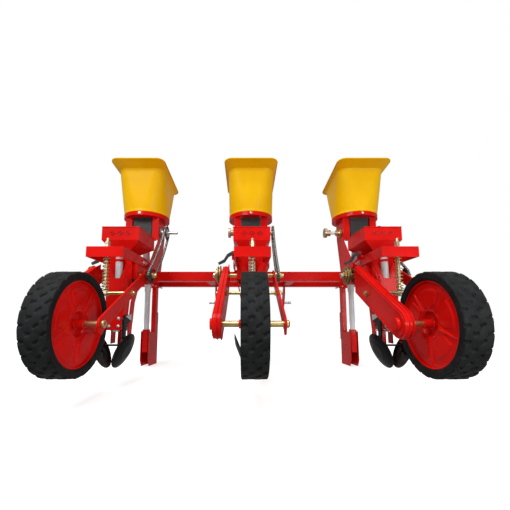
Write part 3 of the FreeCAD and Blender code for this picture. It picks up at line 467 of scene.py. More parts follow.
def piece(name, side, body, parts, smooth=35, bevel=0.0, stands_for=()):
    """One object made of (finish, solids) parts, in place and riding on its body."""
    mesh = bpy.data.meshes.new(name)
    points, faces, slots = [], [], []
    finishes = []
    for finish, solids in parts:
        if finish not in finishes:
            finishes.append(finish)
        for solid_points, solid_faces in solids:
            start = len(points)
            points += [tuple(point) for point in solid_points]
            faces += [tuple(start + i for i in face) for face in solid_faces]
            slots += [finishes.index(finish)] * len(solid_faces)
    mesh.from_pydata(points, [], faces)
    mesh.transform(place(side))
    for finish in finishes:
        mesh.materials.append(finish)
    mesh.polygons.foreach_set("material_index", slots)
    mesh.validate()
    settle(mesh, smooth)
    made = bpy.data.objects.new(name, mesh)
    bpy.context.scene.collection.objects.link(made)
    if bevel:
        soften(made, bevel)
    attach(made, body)
    if stands_for:
        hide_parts(*stands_for)
    return made


def settle(mesh, smooth):
    """Faces outward, and smooth shading up to an angle."""
    work = bmesh.new()
    work.from_mesh(mesh)
    bmesh.ops.recalc_face_normals(work, faces=work.faces)
    work.to_mesh(mesh)
    work.free()
    mesh.polygons.foreach_set("use_smooth", [True] * len(mesh.polygons))
    mesh.set_sharp_from_angle(angle=math.radians(smooth))


def soften(thing, width):
    """Small rounded edges that catch the light."""
    rounding = thing.modifiers.new("rounded_edges", "BEVEL")
    rounding.width = width * MM
    rounding.segments = 2
    rounding.limit_method = "ANGLE"
    rounding.angle_limit = math.radians(40)
    rounding.harden_normals = True


def finish_node(name, finish, width=0.8):
    """Give a CAD node its finish and softened edges."""
    node = frame["nodes"][name]
    node.data.materials.clear()
    node.data.materials.append(finish)
    if width:
        soften(node, width)
    return node


def each_unit(build):
    for unit, side in UNITS.items():
        build(unit, side)


# ---------------------------------------------------------------- wheel

TREAD_COLUMNS = 4
TREAD_BLOCKS = 24
TREAD_DEPTH = 7.5
TREAD_SLANT = 0.055
TREAD_ROWS = 64
SIDEWALL_DROPS = ((0, 10), (1.2, 15), (0.4, 19))
BEAD_RISES = ((0, 11), (1.6, 6), (4, 2.5), (8, 0.3))


def smoothstep(low, high, amount):
    """0 below low, 1 above high, and an even curve between them."""
    share = min(max((amount - low) / (high - low), 0.0), 1.0)
    return share * share * (3 - 2 * share)


def tread_height(x, turn):
    """Depth below the tyre's outside at a place on the tread: shingled blocks with short wavy slits."""
    width = 2 * TYRE_HALF / TREAD_COLUMNS
    column = min(int((x + TYRE_HALF) / width), TREAD_COLUMNS - 1)
    across = (x + TYRE_HALF - column * width) / width * 2 - 1
    slant = -TREAD_SLANT if column < TREAD_COLUMNS / 2 else TREAD_SLANT
    stagger = 0.5 * (column % 2)
    phase = (turn * TREAD_BLOCKS + stagger + slant * across + 0.045 * math.sin(3.0 * across)) % 1.0
    open_width = 0.15 * (1 - 0.45 * across * across)
    slit = 1 - smoothstep(open_width * 0.45, open_width, min(phase, 1 - phase))
    inner_end = abs(x) < TYRE_HALF - width / 2
    closed = smoothstep(0.66, 0.92, abs(across)) if inner_end else 0.0
    shingle = 0.34 * phase ** 2.4
    shoulder = 0.55 * smoothstep(0.93, 1.0, abs(x) / TYRE_HALF)
    return TREAD_DEPTH * min(max(slit * (1 - closed), shingle, shoulder), 1.0)


def axle_ring(around, spot):
    """Points once round the axle; spot(turn) gives the place along it and the radius."""
    points = []
    for step in range(around):
        x, radius = spot(step / around)
        angle = 2 * math.pi * step / around
        points.append(Vector((x, radius * math.cos(angle), AXLE_Z + radius * math.sin(angle))))
    return points


def tyre(unit, side):
    """Treaded tyre with its sidewalls down to the rim; drops and rises are (inward, radius) steps."""
    around = TREAD_BLOCKS * 16
    wall = [(TYRE_HALF - inward, TYRE_RADIUS - drop) for inward, drop in SIDEWALL_DROPS]
    wall += [(TYRE_HALF - inward, RIM_RADIUS + rise) for inward, rise in BEAD_RISES]
    rings = [axle_ring(around, lambda turn: (-x, radius)) for x, radius in reversed(wall)]
    for row in range(TREAD_ROWS + 1):
        x = -TYRE_HALF + 2 * TYRE_HALF * row / TREAD_ROWS
        rings.append(axle_ring(around, lambda turn: (x, TYRE_RADIUS - tread_height(x, turn))))
    rings += [axle_ring(around, lambda turn: (x, radius)) for x, radius in wall]
    points = [point for ring in rings for point in ring]
    solid = (points, strip_faces(len(rings), around, closed_rows=True))
    piece(f"tyre_tread_{unit}", side, f"wheel_{unit}", [(RUBBER, [solid])], smooth=60,
          stands_for=[f"tyre_{unit}"])


PETALS = 5


def web_offset(radius, turn):
    """How far the pressed web stands out: five broad pads with a tapered ridge between each pair."""
    phase = (turn * PETALS + 0.25) % 1.0
    from_ridge = min(phase, 1 - phase) / PETALS * 2 * math.pi * radius
    taper = 1 - smoothstep(60, 148, radius) ** 0.8
    ridge = max(0.0, 1 - from_ridge / (2.5 + 11 * taper))
    ridge *= smoothstep(50, 62, radius) * (1 - smoothstep(140, 152, radius))
    edge = 9 + 20 * smoothstep(60, 150, radius) + 14 * (1 - smoothstep(56, 84, radius))
    pad = smoothstep(edge, edge + 4, from_ridge)
    pad *= smoothstep(60, 66, radius) * (1 - smoothstep(128, 136, radius))
    return 5.0 * pad + (5.5 + 3 * taper) * ridge


def hub_recess(radius):
    """How far the web is sunk round the hub, with a low rounded lip round the sunk part."""
    lip = 3 * smoothstep(48, 52, radius) * (1 - smoothstep(54, 60, radius))
    return 15 * (1 - smoothstep(43, 50, radius)) - lip


WEB_STEPS = 320
WEB_RADII = (HUB_RADIUS, 28, 40, 44, 46, 48, 50, 54, 58, 60, 62, 64, 66, 68, *range(72, 128, 5), 128, 130,
             132, 134, 136, 140, 144, 148, 152, 158, RIM_RADIUS - 2)


def wheel(unit, side):
    """Two pressed webs, the rolled rim, the hub with its welds, and the axle with its round head."""
    solids = []
    for sign in (1, -1):
        points = []
        for radius in WEB_RADII:
            points += axle_ring(WEB_STEPS, lambda turn: (
                sign * (WEB_HALF + web_offset(radius, turn) - hub_recess(radius)), radius))
        solids.append((points, strip_faces(len(WEB_RADII), WEB_STEPS)))
    centre = (0, 0, AXLE_Z)
    lip = WEB_HALF + 9
    rim = washer_ring([(-lip, RIM_RADIUS - 5), (-lip - 1.5, RIM_RADIUS - 2), (-lip, RIM_RADIUS),
                       (lip, RIM_RADIUS), (lip + 1.5, RIM_RADIUS - 2), (lip, RIM_RADIUS - 5),
                       (lip - 6, RIM_RADIUS - 4), (-lip + 6, RIM_RADIUS - 4)], "x", centre, WEB_STEPS)
    bore = AXLE_RADIUS + 1
    hub = washer_ring([(-HUB_HALF, bore), (-HUB_HALF, HUB_RADIUS - 1), (-HUB_HALF + 1, HUB_RADIUS),
                       (HUB_HALF - 1, HUB_RADIUS), (HUB_HALF, HUB_RADIUS - 1), (HUB_HALF, bore)], "x", centre)
    weld_beads = [2.2 + 0.5 * (bead % 2) for bead in range(30)]
    welds = []
    for sign in (1, -1):
        run = axle_ring(len(weld_beads), lambda turn: (sign * (WEB_HALF - 7), HUB_RADIUS + 1.5))
        welds.append(pipe(run, weld_beads, 10, closed=True))
    axle = [rod("x", AXLE_RADIUS, CASE_FACE - 12, ARM_X + 12, 0, AXLE_Z),
            rod("x", SPACER_RADIUS, -121, -HUB_HALF - 0.5, 0, AXLE_Z),
            rod("x", SPACER_RADIUS, HUB_HALF + 0.5, ARM_X - 0.5, 0, AXLE_Z)]
    head = lathe([(ARM_FACE + 0.5, 15), (ARM_FACE + 9, 15), (ARM_FACE + 13, 11.5), (ARM_FACE + 14.5, 5)], "x",
                 centre, 40)
    piece(f"wheel_pressing_{unit}", side, f"wheel_{unit}", [(RED, [*solids, rim, hub, *welds]),
          (YELLOW_ZINC, [*axle, head])], smooth=38, stands_for=[f"wheel_disc_{unit}"])


# ---------------------------------------------------------------- hopper

def rounded_outline(half_x, rear, front, corner, rear_z, front_z, steps=20):
    """Points once round a rounded rectangle that slopes from its rear edge to its front edge."""
    points = []
    for sx, sy, start in ((1, 1, 0), (-1, 1, 90), (-1, -1, 180), (1, -1, 270)):
        cx = sx * (half_x - corner)
        cy = middle(rear, front) + sy * ((front - rear) / 2 - corner)
        for step in range(steps + 1):
            angle = math.radians(start + 90 * step / steps)
            x, y = cx + corner * math.cos(angle), cy + corner * math.sin(angle)
            share = (y - rear) / (front - rear)
            points.append(Vector((x, y, rear_z + (front_z - rear_z) * share)))
    return points


def grown(ring, out, up):
    """A ring pushed outward from its middle and lifted."""
    centre = sum(ring, Vector()) / len(ring)
    made = []
    for point in ring:
        away = Vector((point.x - centre.x, point.y - centre.y, 0))
        made.append(point + away.normalized() * out + Vector((0, 0, up)))
    return made


WALL_LEVELS = 16
FLARE_SHARES = (0.25, 0.45, 0.65, 0.82, 0.93)
LIP_ROLL = 4.5


def hopper(unit, side):
    """Moulded skin from the round foot to the flared brim, with a crease and a rolled lip."""
    foot = Vector((0, HOPPER_FOOT_Y, HOPPER_LOW.z + 5))
    half = (HOPPER_HIGH.x - HOPPER_LOW.x) / 2
    rear, front = HOPPER_LOW.y, HOPPER_HIGH.y
    rear_z, front_z = HOPPER_HIGH.z, HOPPER_HIGH.z - BRIM_FALL
    low = rounded_outline(HOPPER_FOOT_RADIUS, foot.y - HOPPER_FOOT_RADIUS, foot.y + HOPPER_FOOT_RADIUS,
                          HOPPER_FOOT_RADIUS - 2, foot.z, foot.z)
    crease = rounded_outline(half - 27, rear + 72, front - 18, 52, rear_z - 36, front_z - 22)
    brim = rounded_outline(half - 4, rear + 4, front - 4, 46, rear_z - 5, front_z - 5)
    rings = [[foot + (point - foot) * 1.02 - Vector((0, 0, 5)) for point in low], low]
    for level in range(1, WALL_LEVELS + 1):
        share = level / WALL_LEVELS
        spread = share ** 0.92
        lean = Vector((spread, spread, share))
        rings.append([a + (b - a) * lean for a, b in zip(low, crease)])
    rings.append(grown(crease, 2.2, 2.5))
    rings.append(grown(crease, 2.6, 5.5))
    for share in FLARE_SHARES:
        rings.append([a.lerp(b, share) for a, b in zip(grown(crease, 1.0, 6), brim)])
    for degrees in range(200, -150, -35):
        turn = math.radians(degrees)
        out = LIP_ROLL * (0.2 + 0.9 * math.cos(turn))
        rings.append(grown(brim, out, LIP_ROLL * 0.9 * math.sin(turn)))
    points = [point for ring in rings for point in ring]
    skin = (points, strip_faces(len(rings), len(low)))
    made = piece(f"hopper_skin_{unit}", side, "frame", [(YELLOW, [skin])], smooth=50,
                 stands_for=[f"fertiliser_hopper_{unit}"])
    shell = made.modifiers.new("skin", "SOLIDIFY")
    shell.thickness = 3 * MM
    shell.offset = -1


# ---------------------------------------------------------------- chains, shafts and springs

def chain_path(first, first_radius, second, second_radius, sag=0.0):
    """A closed run round two chain wheels, at even steps of the pitch; both free strands sag a little."""
    a, b = Vector((first.y, first.z)), Vector((second.y, second.z))
    lean = math.asin((first_radius - second_radius) / (b - a).length)
    base = math.atan2(b.y - a.y, b.x - a.x)
    tangent = math.pi / 2 - lean
    points = []

    def rim(centre, radius, angle):
        return centre + Vector((math.cos(angle), math.sin(angle))) * radius

    def arc(centre, radius, start, end, steps=40):
        for step in range(steps + 1):
            points.append(rim(centre, radius, start + (end - start) * step / steps))

    def strand(start, end, steps=24):
        across = Vector((end.y - start.y, start.x - end.x)).normalized()
        down = across if across.y < 0 else -across
        for step in range(1, steps):
            share = step / steps
            points.append(start.lerp(end, share) + down * sag * 4 * share * (1 - share))

    arc(b, second_radius, base - tangent, base + tangent)
    strand(points[-1], rim(a, first_radius, base + tangent))
    arc(a, first_radius, base + tangent, base + 2 * math.pi - tangent)
    strand(points[-1], points[0])
    return even_spots(points)


def even_spots(points):
    """Pins at equal steps along a closed run, an even number of them and close to the chain's pitch."""
    lengths = [0.0]
    loop = points + points[:1]
    for here, there in zip(loop, loop[1:]):
        lengths.append(lengths[-1] + (there - here).length)
    links = 2 * round(lengths[-1] / CHAIN_PITCH / 2)
    spots = []
    index = 0
    for link in range(links):
        target = lengths[-1] * link / links
        while lengths[index + 1] < target:
            index += 1
        share = (target - lengths[index]) / max(lengths[index + 1] - lengths[index], 1e-6)
        spots.append(loop[index].lerp(loop[index + 1], share))
    return spots


def link_plate(a, b, low, high, radius):
    """One side plate of a link: two round ends with a narrow waist."""
    along = (b - a).normalized()
    across = Vector((-along.y, along.x))
    outline = []
    for end, facing in ((b, 1), (a, -1)):
        for degrees in (-70, -35, 0, 35, 70):
            angle = math.radians(degrees)
            point = end + (along * math.cos(angle) + across * math.sin(angle)) * radius * facing
            outline.append((point.x, point.y))
        waist = (a + b) / 2 + across * radius * 0.72 * facing
        outline.append((waist.x, waist.y))
    return slab(outline, low, high)


def roller_chain(spots, x):
    """Side plates, rollers and pin ends of a roller chain through the spots, centred on x."""
    plates, pins = [], []
    for index, here in enumerate(spots):
        there = spots[(index + 1) % len(spots)]
        out = 3.6 if index % 2 else 5.0
        for sign in (1, -1):
            ends = sorted((x + sign * out, x + sign * (out + 1.3)))
            plates.append(link_plate(here, there, *ends, 5.4))
        pins.append(rod("x", 4.1, x - 3.4, x + 3.4, here.x, here.y, 14, 0.3))
        pins.append(rod("x", 1.9, x - 7.4, x + 7.4, here.x, here.y, 10, 0.3))
    return [(CHAIN_STEEL, plates), (PIN_STEEL, pins)]


LOWER_TEETH, UPPER_TEETH = 19, 21
METER_CHAIN_SAG = 19
CASE_CHAIN_RADIUS = 31


def meter_chain(unit, side):
    """The open chain from the drive shaft up to the metering shaft."""
    spots = chain_path(PIVOT, pitch_radius(LOWER_TEETH), FEED, pitch_radius(UPPER_TEETH), METER_CHAIN_SAG)
    stands = ["meter_drive_chains"] if unit == "centre" else []
    piece(f"roller_chain_{unit}", side, "frame", roller_chain(spots, CHAIN_X), smooth=30, stands_for=stands)


def case_chain(unit, side):
    """The chain inside the wheel arm's case, from the axle to the drive shaft."""
    spots = chain_path(Vector((0, 0, AXLE_Z)), CASE_CHAIN_RADIUS, PIVOT, CASE_CHAIN_RADIUS)
    piece(f"case_chain_{unit}", side, f"arm_{unit}", roller_chain(spots, CASE_CHAIN_X), smooth=30)


CLUTCH_PLATES = ((0, 54, 4), (6, 44, 5), (14, 50, 5), (22, 38, 7), (30, 22, 8))
SHAFT_TIP_X = -216


def drive(unit, side):
    """Cross shaft with toothed wheels, the jaw clutch and its wing bolt."""
    y, z = PIVOT.y, PIVOT.z
    shaft = [rod("x", SHAFT_RADIUS, SHAFT_TIP_X + 6, 176, y, z)]
    chain_wheel = sprocket(SPROCKET_X, LOWER_TEETH, PIVOT)
    seed_wheel = [rod("x", 41, 39, 44, y, z, 64, 1.0), rod("x", 24, 36, 48, y, z)]
    seed_wheel += radial_teeth(12, PIVOT, (22, 0.10), (40, 0.05), 36, 47)
    bushes = [rod("x", 15, SPROCKET_FACE, SPROCKET_FACE + 12, y, z),
              hex_head("x", 24, SPROCKET_FACE + 12, SPROCKET_FACE + 22, y, z),
              rod("x", 19, SPROCKET_X - 14, SPROCKET_X, y, z, 40, 1.5)]
    clutch = []
    for outward, radius, thick in CLUTCH_PLATES:
        clutch.append(rod("x", radius, CLUTCH_X - outward, CLUTCH_X - outward + thick, y, z, 64, 1.3))
    clutch += radial_teeth(6, PIVOT, (18, 0.22), (36, 0.14), CLUTCH_X - 9, CLUTCH_X + 4)
    wing = [rod("x", 13, SHAFT_TIP_X + 4, SHAFT_TIP_X + 16, y, z, 32, 2)]
    for sign in (1, -1):
        ear = [(SHAFT_TIP_X + 10, y + sign * reach, z + sign * rise)
               for reach, rise in ((6, 0), (13, 3), (20, 6), (25, 9))]
        wing.append(pipe(ear, [4, 5.5, 5, 3], 14))
    piece(f"drive_line_{unit}", side, f"shaft_{unit}",
          [(YELLOW_ZINC, [*shaft, *bushes]), (DARK_STEEL, [chain_wheel]), (BLACK_CAST, seed_wheel),
           (BRASS, clutch), (ZINC, wing)], smooth=35, stands_for=[f"drive_shaft_{unit}"])


def metering(unit, side):
    """Metering shaft with its toothed wheel, bearing flange and bright tip."""
    y, z = FEED.y, FEED.z
    left, right = (-199, 216) if side else (-131, SPROCKET_X + 14)
    shaft = [rod("x", FEED_RADIUS, left, right, y, z)]
    chain_wheel = sprocket(SPROCKET_X, UPPER_TEETH, FEED)
    flange = [rod("x", 26, SPROCKET_FACE, SPROCKET_FACE + 4, y, z, 48, 1.5),
              rod("x", 17, SPROCKET_FACE + 3, SPROCKET_FACE + 9, y, z, 40, 2),
              rod("x", 16, PLATE_X + 0.5, SPROCKET_X, y, z),
              rod("x", 31, PLATE_X + 0.6, PLATE_X + 7, y, z, 48, 1.5),
              rod("x", 23, PLATE_X + 6, PLATE_X + 22, y, z, 48, 4)]
    for degrees in (45, 135, 225, 315):
        angle = math.radians(degrees)
        flange.append(rod("x", 3, SPROCKET_FACE + 4, SPROCKET_FACE + 5.5, y + 21 * math.cos(angle),
                          z + 21 * math.sin(angle), 16, 0.5))
    collars = []
    if side:
        collars = [rod("x", 27, -PLATE_X - 12, -PLATE_X - 0.5, y, z, 48, 2),
                   rod("x", 21, -PLATE_X - 34, -PLATE_X - 11, y, z, 48, 2)]
    roller = rod("x", 26, -50, 50, y, z)
    piece(f"metering_line_{unit}", side, f"meter_{unit}",
          [(ZINC, [*shaft, *flange]), (DARK_STEEL, [chain_wheel]), (YELLOW_ZINC, collars),
           (BLACK_CAST, [roller])], smooth=35, stands_for=[f"metering_shaft_{unit}"])


SPRING_TURNS = 12
SPRING_STEPS = 28
SPRING_WIRE = 2.5
END_RISE = 0.055


def spring(unit, side):
    """Compression spring with closed ends between the rod's collar and the bracket's shelf."""
    low, high = SPRING_LOW.z, SPRING_HIGH.z
    radius = (SPRING_HIGH.x - SPRING_LOW.x) / 2 - SPRING_WIRE
    points = []
    for step in range(SPRING_TURNS * SPRING_STEPS + 1):
        turn = step / SPRING_STEPS
        end_turns = min(turn, 1.0) + max(turn - (SPRING_TURNS - 1), 0.0)
        open_share = min(max(turn - 1, 0.0), SPRING_TURNS - 2) / (SPRING_TURNS - 2)
        share = END_RISE * end_turns + (1 - 2 * END_RISE) * open_share
        height = low + SPRING_WIRE + (high - low - 2 * SPRING_WIRE) * share
        angle = 2 * math.pi * turn
        points.append((PIN.x + radius * math.cos(angle), PIN.y + radius * math.sin(angle), height))
    made = piece(f"spring_coil_{unit}", side, f"rod_{unit}", [(YELLOW_ZINC, [pipe(points, SPRING_WIRE, 12)])],
                 smooth=60, stands_for=[f"spring_{unit}"])
    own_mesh(made)


# ---------------------------------------------------------------- the rest of a unit

def tube_path(points, reach, steps=10):
    """Straight runs with each corner rounded off."""
    points = [Vector(point) for point in points]
    path = [points[0]]
    for before, corner, after in zip(points, points[1:], points[2:]):
        first = corner + (before - corner).normalized() * reach
        last = corner + (after - corner).normalized() * reach
        for step in range(steps + 1):
            share = step / steps
            path.append(first.lerp(corner, share).lerp(corner.lerp(last, share), share))
    return path + [points[-1]]


def fertiliser_tube(unit, side):
    """Drop tube in two push-fit lengths, the lower one slimmer."""
    path = tube_path([(0, HOPPER_FOOT_Y, TUBE_HIGH.z), (0, HOPPER_FOOT_Y, 640), (TUBE_X, TUBE_Y, 480),
                      (TUBE_X, TUBE_Y, TUBE_LOW.z)], 80)
    fine = []
    for a, b in zip(path, path[1:]):
        steps = max(1, int((b - a).length / 12))
        fine += [a.lerp(b, step / steps) for step in range(steps)]
    fine.append(path[-1])
    joint_z, upper_radius, lower_radius = 400, 22, 17.5
    radii = [lower_radius + (upper_radius - lower_radius) * smoothstep(joint_z - 14, joint_z + 4, point.z)
             for point in fine]
    stands = ["fertiliser_tubes"] if unit == "centre" else []
    piece(f"fertiliser_drop_tube_{unit}", side, "frame", [(TUBE_PALE, [pipe(fine, radii, 32)])], smooth=60,
          stands_for=stands)


def case_outline(inset, slope):
    """The case's side view along its own length: round at the axle and cut upright at the pivot's end."""
    axle_end, pivot_end = CASE_RADIUS - inset, CASE_PIVOT_RADIUS - inset
    points = []
    for degrees in range(90, 271, 10):
        angle = math.radians(degrees)
        points.append((axle_end * math.cos(angle), axle_end * math.sin(angle)))
    edge = axle_end + (pivot_end - axle_end) * CASE_END_Y / PIVOT.y
    for across in (-edge, edge):
        points.append(((CASE_END_Y - inset + across * math.sin(slope)) / math.cos(slope), across))
    return points


def case_trim(unit, side):
    """Pressed bead, seam and flange round the chain case, and the boss over its axle."""
    slope = math.atan2(PIVOT.z - AXLE_Z, PIVOT.y)
    along = Matrix.Translation(Vector((0, 0, AXLE_Z))) @ Matrix.Rotation(slope, 4, "X")

    def bead(inset, x, radius, steps):
        points = case_outline(inset, slope)
        path = []
        for (a, b), (c, d) in zip(points, points[1:] + points[:1]):
            count = max(1, int(math.hypot(c - a, d - b) / 6))
            for k in range(count):
                path.append(along @ Vector((x, a + (c - a) * k / count, b + (d - b) * k / count)))
        return pipe(path, radius, steps, closed=True)

    beads = [bead(9, CASE_FACE - 0.5, 3.0, 10), bead(-0.5, middle(CASE_FACE, CASE_PLATE), 3.2, 10),
             bead(-2.5, CASE_PLATE, 2.6, 8)]
    boss = lathe([(CASE_FACE - 1, 24), (CASE_FACE - 9, 22.5), (CASE_FACE - 12, 20), (CASE_FACE - 12.5, 8)],
                 "x", (0, 0, AXLE_Z), 64)
    # The boss gets the lighter copy of the red paint, a painted highlight.
    piece(f"case_trim_{unit}", side, f"arm_{unit}", [(RED, beads), (HIGHLIGHT_RED, [boss])], smooth=60)


def fasteners(unit, side):
    """Bolts through the bracket's legs and one on the ring under the hopper."""
    heads = []
    for sign in (1, -1):
        for y in (500, 532):
            heads += bolt("x", 9, sign * BRACKET_LEG_X, y, 530, sign)
    heads += bolt("y", 7, HOPPER_FOOT_Y - HOPPER_FOOT_RADIUS - 5, 0, RING_TOP - 12, -1)
    piece(f"fasteners_{unit}", side, "frame", [(ZINC, heads)], smooth=30)


def box_trim(unit, side):
    """Folded rim of the seed box, a dark strip of painted shade along the top of its rear face, and three
    pressed diamonds on its rear face outlined in dark red as painted shade.
    """
    x, top = BOX_HIGH.x, BOX_HIGH.z
    corners = [(-x, BOX_LOW.y), (x, BOX_LOW.y), (x, BOX_HIGH.y), (-x, BOX_HIGH.y)]
    rim = pipe(closed_path([(a, b, top - 1.5) for a, b in corners], 12), 2.4, 10, closed=True)
    diamond_shade_outlines = []
    # Dark-red outlines of the pressed diamonds: painted shade in the pressing's creases.
    wide, tall, z = 17, 12, middle(top, BOX_BEND_Z)
    for shift in (-42, 0, 42):
        for size in (1.0, 0.45):
            corners = [(shift, z + tall * size), (shift + wide * size, z), (shift, z - tall * size),
                       (shift - wide * size, z)]
            path = closed_path([(a, BOX_LOW.y, b) for a, b in corners], 6)
            diamond_shade_outlines.append(pipe(path, 1.1, 8, closed=True))
    # A thin dark steel strip along the top of the rear face: painted shade under the box's rim.
    lip = cuboid((-x - 1, x + 1), (BOX_LOW.y - 1.2, BOX_LOW.y + 0.3), (top - 3.5, top - 0.5))
    piece(f"box_trim_{unit}", side, "frame", [(RED, [rim]), (DARK_STEEL, [lip]), (SHADE_RED, diamond_shade_outlines)], smooth=40)


PLATE_REAR_Y = 366
DOME_HEAD = ((0, 10), (-3, 9.6), (-7.5, 6.8), (-9, 3), (-9.2, 0.4))


def opener_bolts(unit, side):
    """Round-headed bolts on the rear plate, and a small scraper inside each covering disc."""
    profile = [(PLATE_REAR_Y + along, radius) for along, radius in DOME_HEAD]
    heads = [lathe(profile, "y", (x, 0, z), 24) for x in (-24, 24) for z in (178, 216)]
    blade = slab([(-12, -3), (12, 3), (14, 9), (-8, 8)], -1.2, 1.2)
    scrapers = []
    for sign in (1, -1):
        spot = Matrix.Translation(Vector((sign * 46, 352, 96))) @ Matrix.Rotation(sign * 0.5, 4, "Z")
        scrapers.append(turned(blade, spot))
    piece(f"opener_bolts_{unit}", side, "frame", [(ZINC, heads), (RED, scrapers)], smooth=40)


def rear_plate(unit, side):
    """Folded plate behind the seed tube, the straps that carry it and the sheet behind the meter."""
    foot, low, high, y = 158, 231, 424, PLATE_REAR_Y
    plate = slab([(-39, foot), (39, foot), (40, low), (52, high), (-52, high), (-40, low)], y, y + 4, "xz")
    parts = [plate]
    for sign in (1, -1):
        parts.append(slab([(sign * 40, low), (sign * 44, low), (sign * 56, high), (sign * 52, high)],
                          y, y + 64, "xz"))
        parts.append(slab([(sign * 12, high - 6), (sign * 34, high - 6), (sign * 72, 508), (sign * 48, 508)],
                          y + 6, y + 10, "xz"))
    parts.append(cuboid((-60, 60), (410.4, 411.8), (404, 558)))
    piece(f"rear_plate_{unit}", side, "frame", [(RED, parts)], smooth=30, bevel=0.8)


def arm_tab(unit, side):
    """Guard tab under the axle on the flat arm."""
    outline = [(-26, -8), (-18, -34), (-4, -42), (8, -38), (22, -16)]
    tab = slab([(y, AXLE_Z + z) for y, z in outline], ARM_X + 0.2, ARM_X + 7.8)
    piece(f"arm_tab_{unit}", side, f"arm_{unit}", [(RED, [tab])], smooth=30, bevel=1.0)


def tube_sleeve(unit, side):
    """Square steel sleeve at the top of the boot that takes the end of the drop tube."""
    half, wall, heights = 19.6, 1.6, (-12, 138)
    walls = []
    for sign in (1, -1):
        low, high = sorted((sign * half, sign * (half - wall)))
        walls.append(cuboid((TUBE_X + low, TUBE_X + high), (TUBE_Y - half, TUBE_Y + half), heights))
        walls.append(cuboid((TUBE_X - half, TUBE_X + half), (TUBE_Y + low, TUBE_Y + high), heights))
    piece(f"tube_sleeve_{unit}", side, "frame", [(RED, walls)], smooth=30)


# ---------------------------------------------------------------- finishes of the CAD nodes that stay in view


CAD_FINISHES = {
    "cross_beams": RED, "hitch_frame": RED, "beam_clamp_bolts": ZINC, "seed_meters": GREY_CAST,
    "fertiliser_meters": BLACK_CAST, "seed_tubes": TUBE_GREY, "spring_brackets": RED,
}
UNIT_FINISHES = {
    "unit_frame": RED, "seed_box": RED, "seed_opener": RED, "fertiliser_opener": RED, "wheel_arm": RED,
    "arm_pin_and_chain": YELLOW_ZINC, "spring_rod": THREAD, "adjusting_knob": KNOB_BRONZE,
    "clutch_lever": BLACK_CAST, "covering_disc_left": BLACK, "covering_disc_right": BLACK,
}


def touch_up(name, finish, inside):
    """A second finish on the faces of a CAD node whose middles are inside a region."""
    node = frame["nodes"][name]
    node.data.materials.append(finish)
    for face in node.data.polygons:
        if inside(local(face.center)):
            face.material_index = len(node.data.materials) - 1


def finish_unit(unit, side):
    """One unit's CAD nodes, with black disc arms, bright bolts and a bare steel knife."""
    for base_name, node_finish in UNIT_FINISHES.items():
        finish_node(f"{base_name}_{unit}", node_finish)
    shift = PITCH * side / MM

    def disc_arms(at):
        beside_or_below = abs(at.x - shift) > 49 or (at.z < 100 and at.y < 400)
        return at.y < 449 and 35 < at.z < 243 and beside_or_below

    def plate_bolts(at):
        return 412 < at.y < 430.4 and 158 < at.z < 226

    def knife(at):
        return at.y > 1063.5 and -15 < at.x - shift < -5 and at.z < 275

    touch_up(f"seed_opener_{unit}", BLACK, disc_arms)
    touch_up(f"seed_opener_{unit}", ZINC, plate_bolts)
    touch_up(f"fertiliser_opener_{unit}", DARK_STEEL, knife)


def hitch_pins(at):
    return abs(at.x) > 272.5 and 320 < at.z < 350


def tube_bands(at):
    return 513 < at.z < 527


for shared_name, shared_finish in CAD_FINISHES.items():
    finish_node(shared_name, shared_finish)
each_unit(finish_unit)
touch_up("hitch_frame", ZINC, hitch_pins)
touch_up("seed_tubes", RED, tube_bands)

for build in (tyre, wheel, hopper, meter_chain, case_chain, drive, metering, spring, fertiliser_tube,
              case_trim, fasteners, box_trim, opener_bolts, rear_plate, arm_tab, tube_sleeve):
    each_unit(build)


# ---------------------------------------------------------------- floor, light and camera

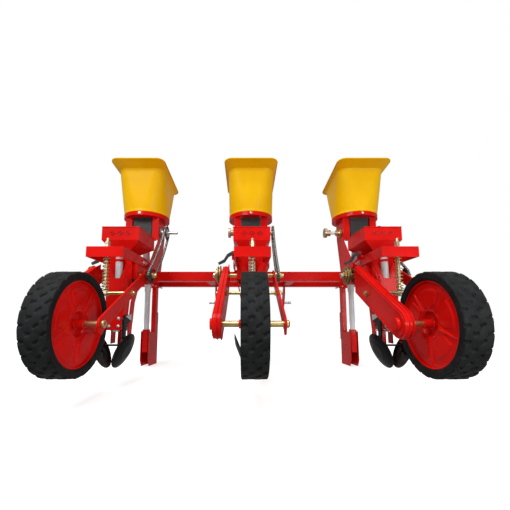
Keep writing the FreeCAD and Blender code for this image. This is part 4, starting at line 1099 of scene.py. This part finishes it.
def floor():
    """A pale floor that takes the shadows, inside a white dome that only the camera sees."""
    half = 12
    mesh = bpy.data.meshes.new("floor")
    corners = [(-half, -half, 0), (half, -half, 0), (half, half, 0), (-half, half, 0)]
    mesh.from_pydata(corners, [], [(0, 1, 2, 3)])
    ground = bpy.data.objects.new("floor", mesh)
    finish = Finish("floor_white", Roughness=0.8, Specular_IOR_Level=0.0, Emission_Color=rgb(1, 1, 1),
                    Emission_Strength=0.72)
    finish.colour(finish.mix(finish.ramp(finish.noise(2), 0.3, 0.7), rgb(0.55, 0.55, 0.55),
                             rgb(0.58, 0.58, 0.58)))
    mesh.materials.append(finish.bumps((finish.noise(60), 0.001, 0.05)))
    dome_mesh = bpy.data.meshes.new("backdrop")
    points, faces = lathe([(-10, 12), (-4, 14), (0, 14.5), (6, 13), (10, 9), (12.5, 4), (13, 0.1)], "z",
                          (0, 0, 0), 64)
    dome_mesh.from_pydata([tuple(point) for point in points], [], faces)
    dome = bpy.data.objects.new("backdrop", dome_mesh)
    glow = Finish("backdrop_white", Base_Color=rgb(0, 0, 0), Emission_Color=rgb(1, 1, 1),
                  Emission_Strength=1.0, Specular_IOR_Level=0.0)
    dome_mesh.materials.append(glow.material)
    for thing in (ground, dome):
        bpy.context.scene.collection.objects.link(thing)
        thing.visible_diffuse = False
        thing.visible_glossy = False
        thing.visible_transmission = False
    dome.visible_shadow = False


def lamp(name, spot, aim, size, power):
    """A soft box; one without a size is a broad sun."""
    data = bpy.data.lights.new(name, "AREA" if size else "SUN")
    data.energy = power
    if size:
        data.shape = "RECTANGLE"
        data.size, data.size_y = size
    else:
        data.angle = math.radians(35)
    thing = bpy.data.objects.new(name, data)
    thing.location = spot
    thing.rotation_euler = (Vector(aim) - Vector(spot)).to_track_quat("-Z", "Y").to_euler()
    bpy.context.scene.collection.objects.link(thing)


def studio():
    world = bpy.data.worlds.new("studio")
    world.use_nodes = True
    backdrop = world.node_tree.nodes["Background"]
    backdrop.inputs["Color"].default_value = rgb(1.0, 1.0, 1.0)
    backdrop.inputs["Strength"].default_value = 0.42
    bpy.context.scene.world = world
    bpy.context.scene.view_settings.view_transform = "Standard"
    lamp("sky", (-0.5, -1.4, 3.6), (0, 0, 0), None, 2.1)
    lamp("key", (-1.7, -2.7, 2.6), (0, 0, 0.7), (1.6, 1.2), 56)
    lamp("fill", (1.6, -3.0, 0.5), (0, 0, 0.8), (1.6, 0.9), 40)


def camera():
    """The photographer's place: low behind the middle wheel, tilted up a little, with a wide lens."""
    data = bpy.data.cameras.new("camera")
    data.sensor_width = 36
    data.lens = 20.3
    data.shift_x = 0.0165
    data.shift_y = 0.051
    seat = bpy.data.objects.new("camera", data)
    seat.location = (-0.028, -1.671, 0.345)
    seat.rotation_euler = (math.radians(96.8), 0, 0)
    bpy.context.scene.collection.objects.link(seat)
    bpy.context.scene.camera = seat


floor()
studio()
camera()
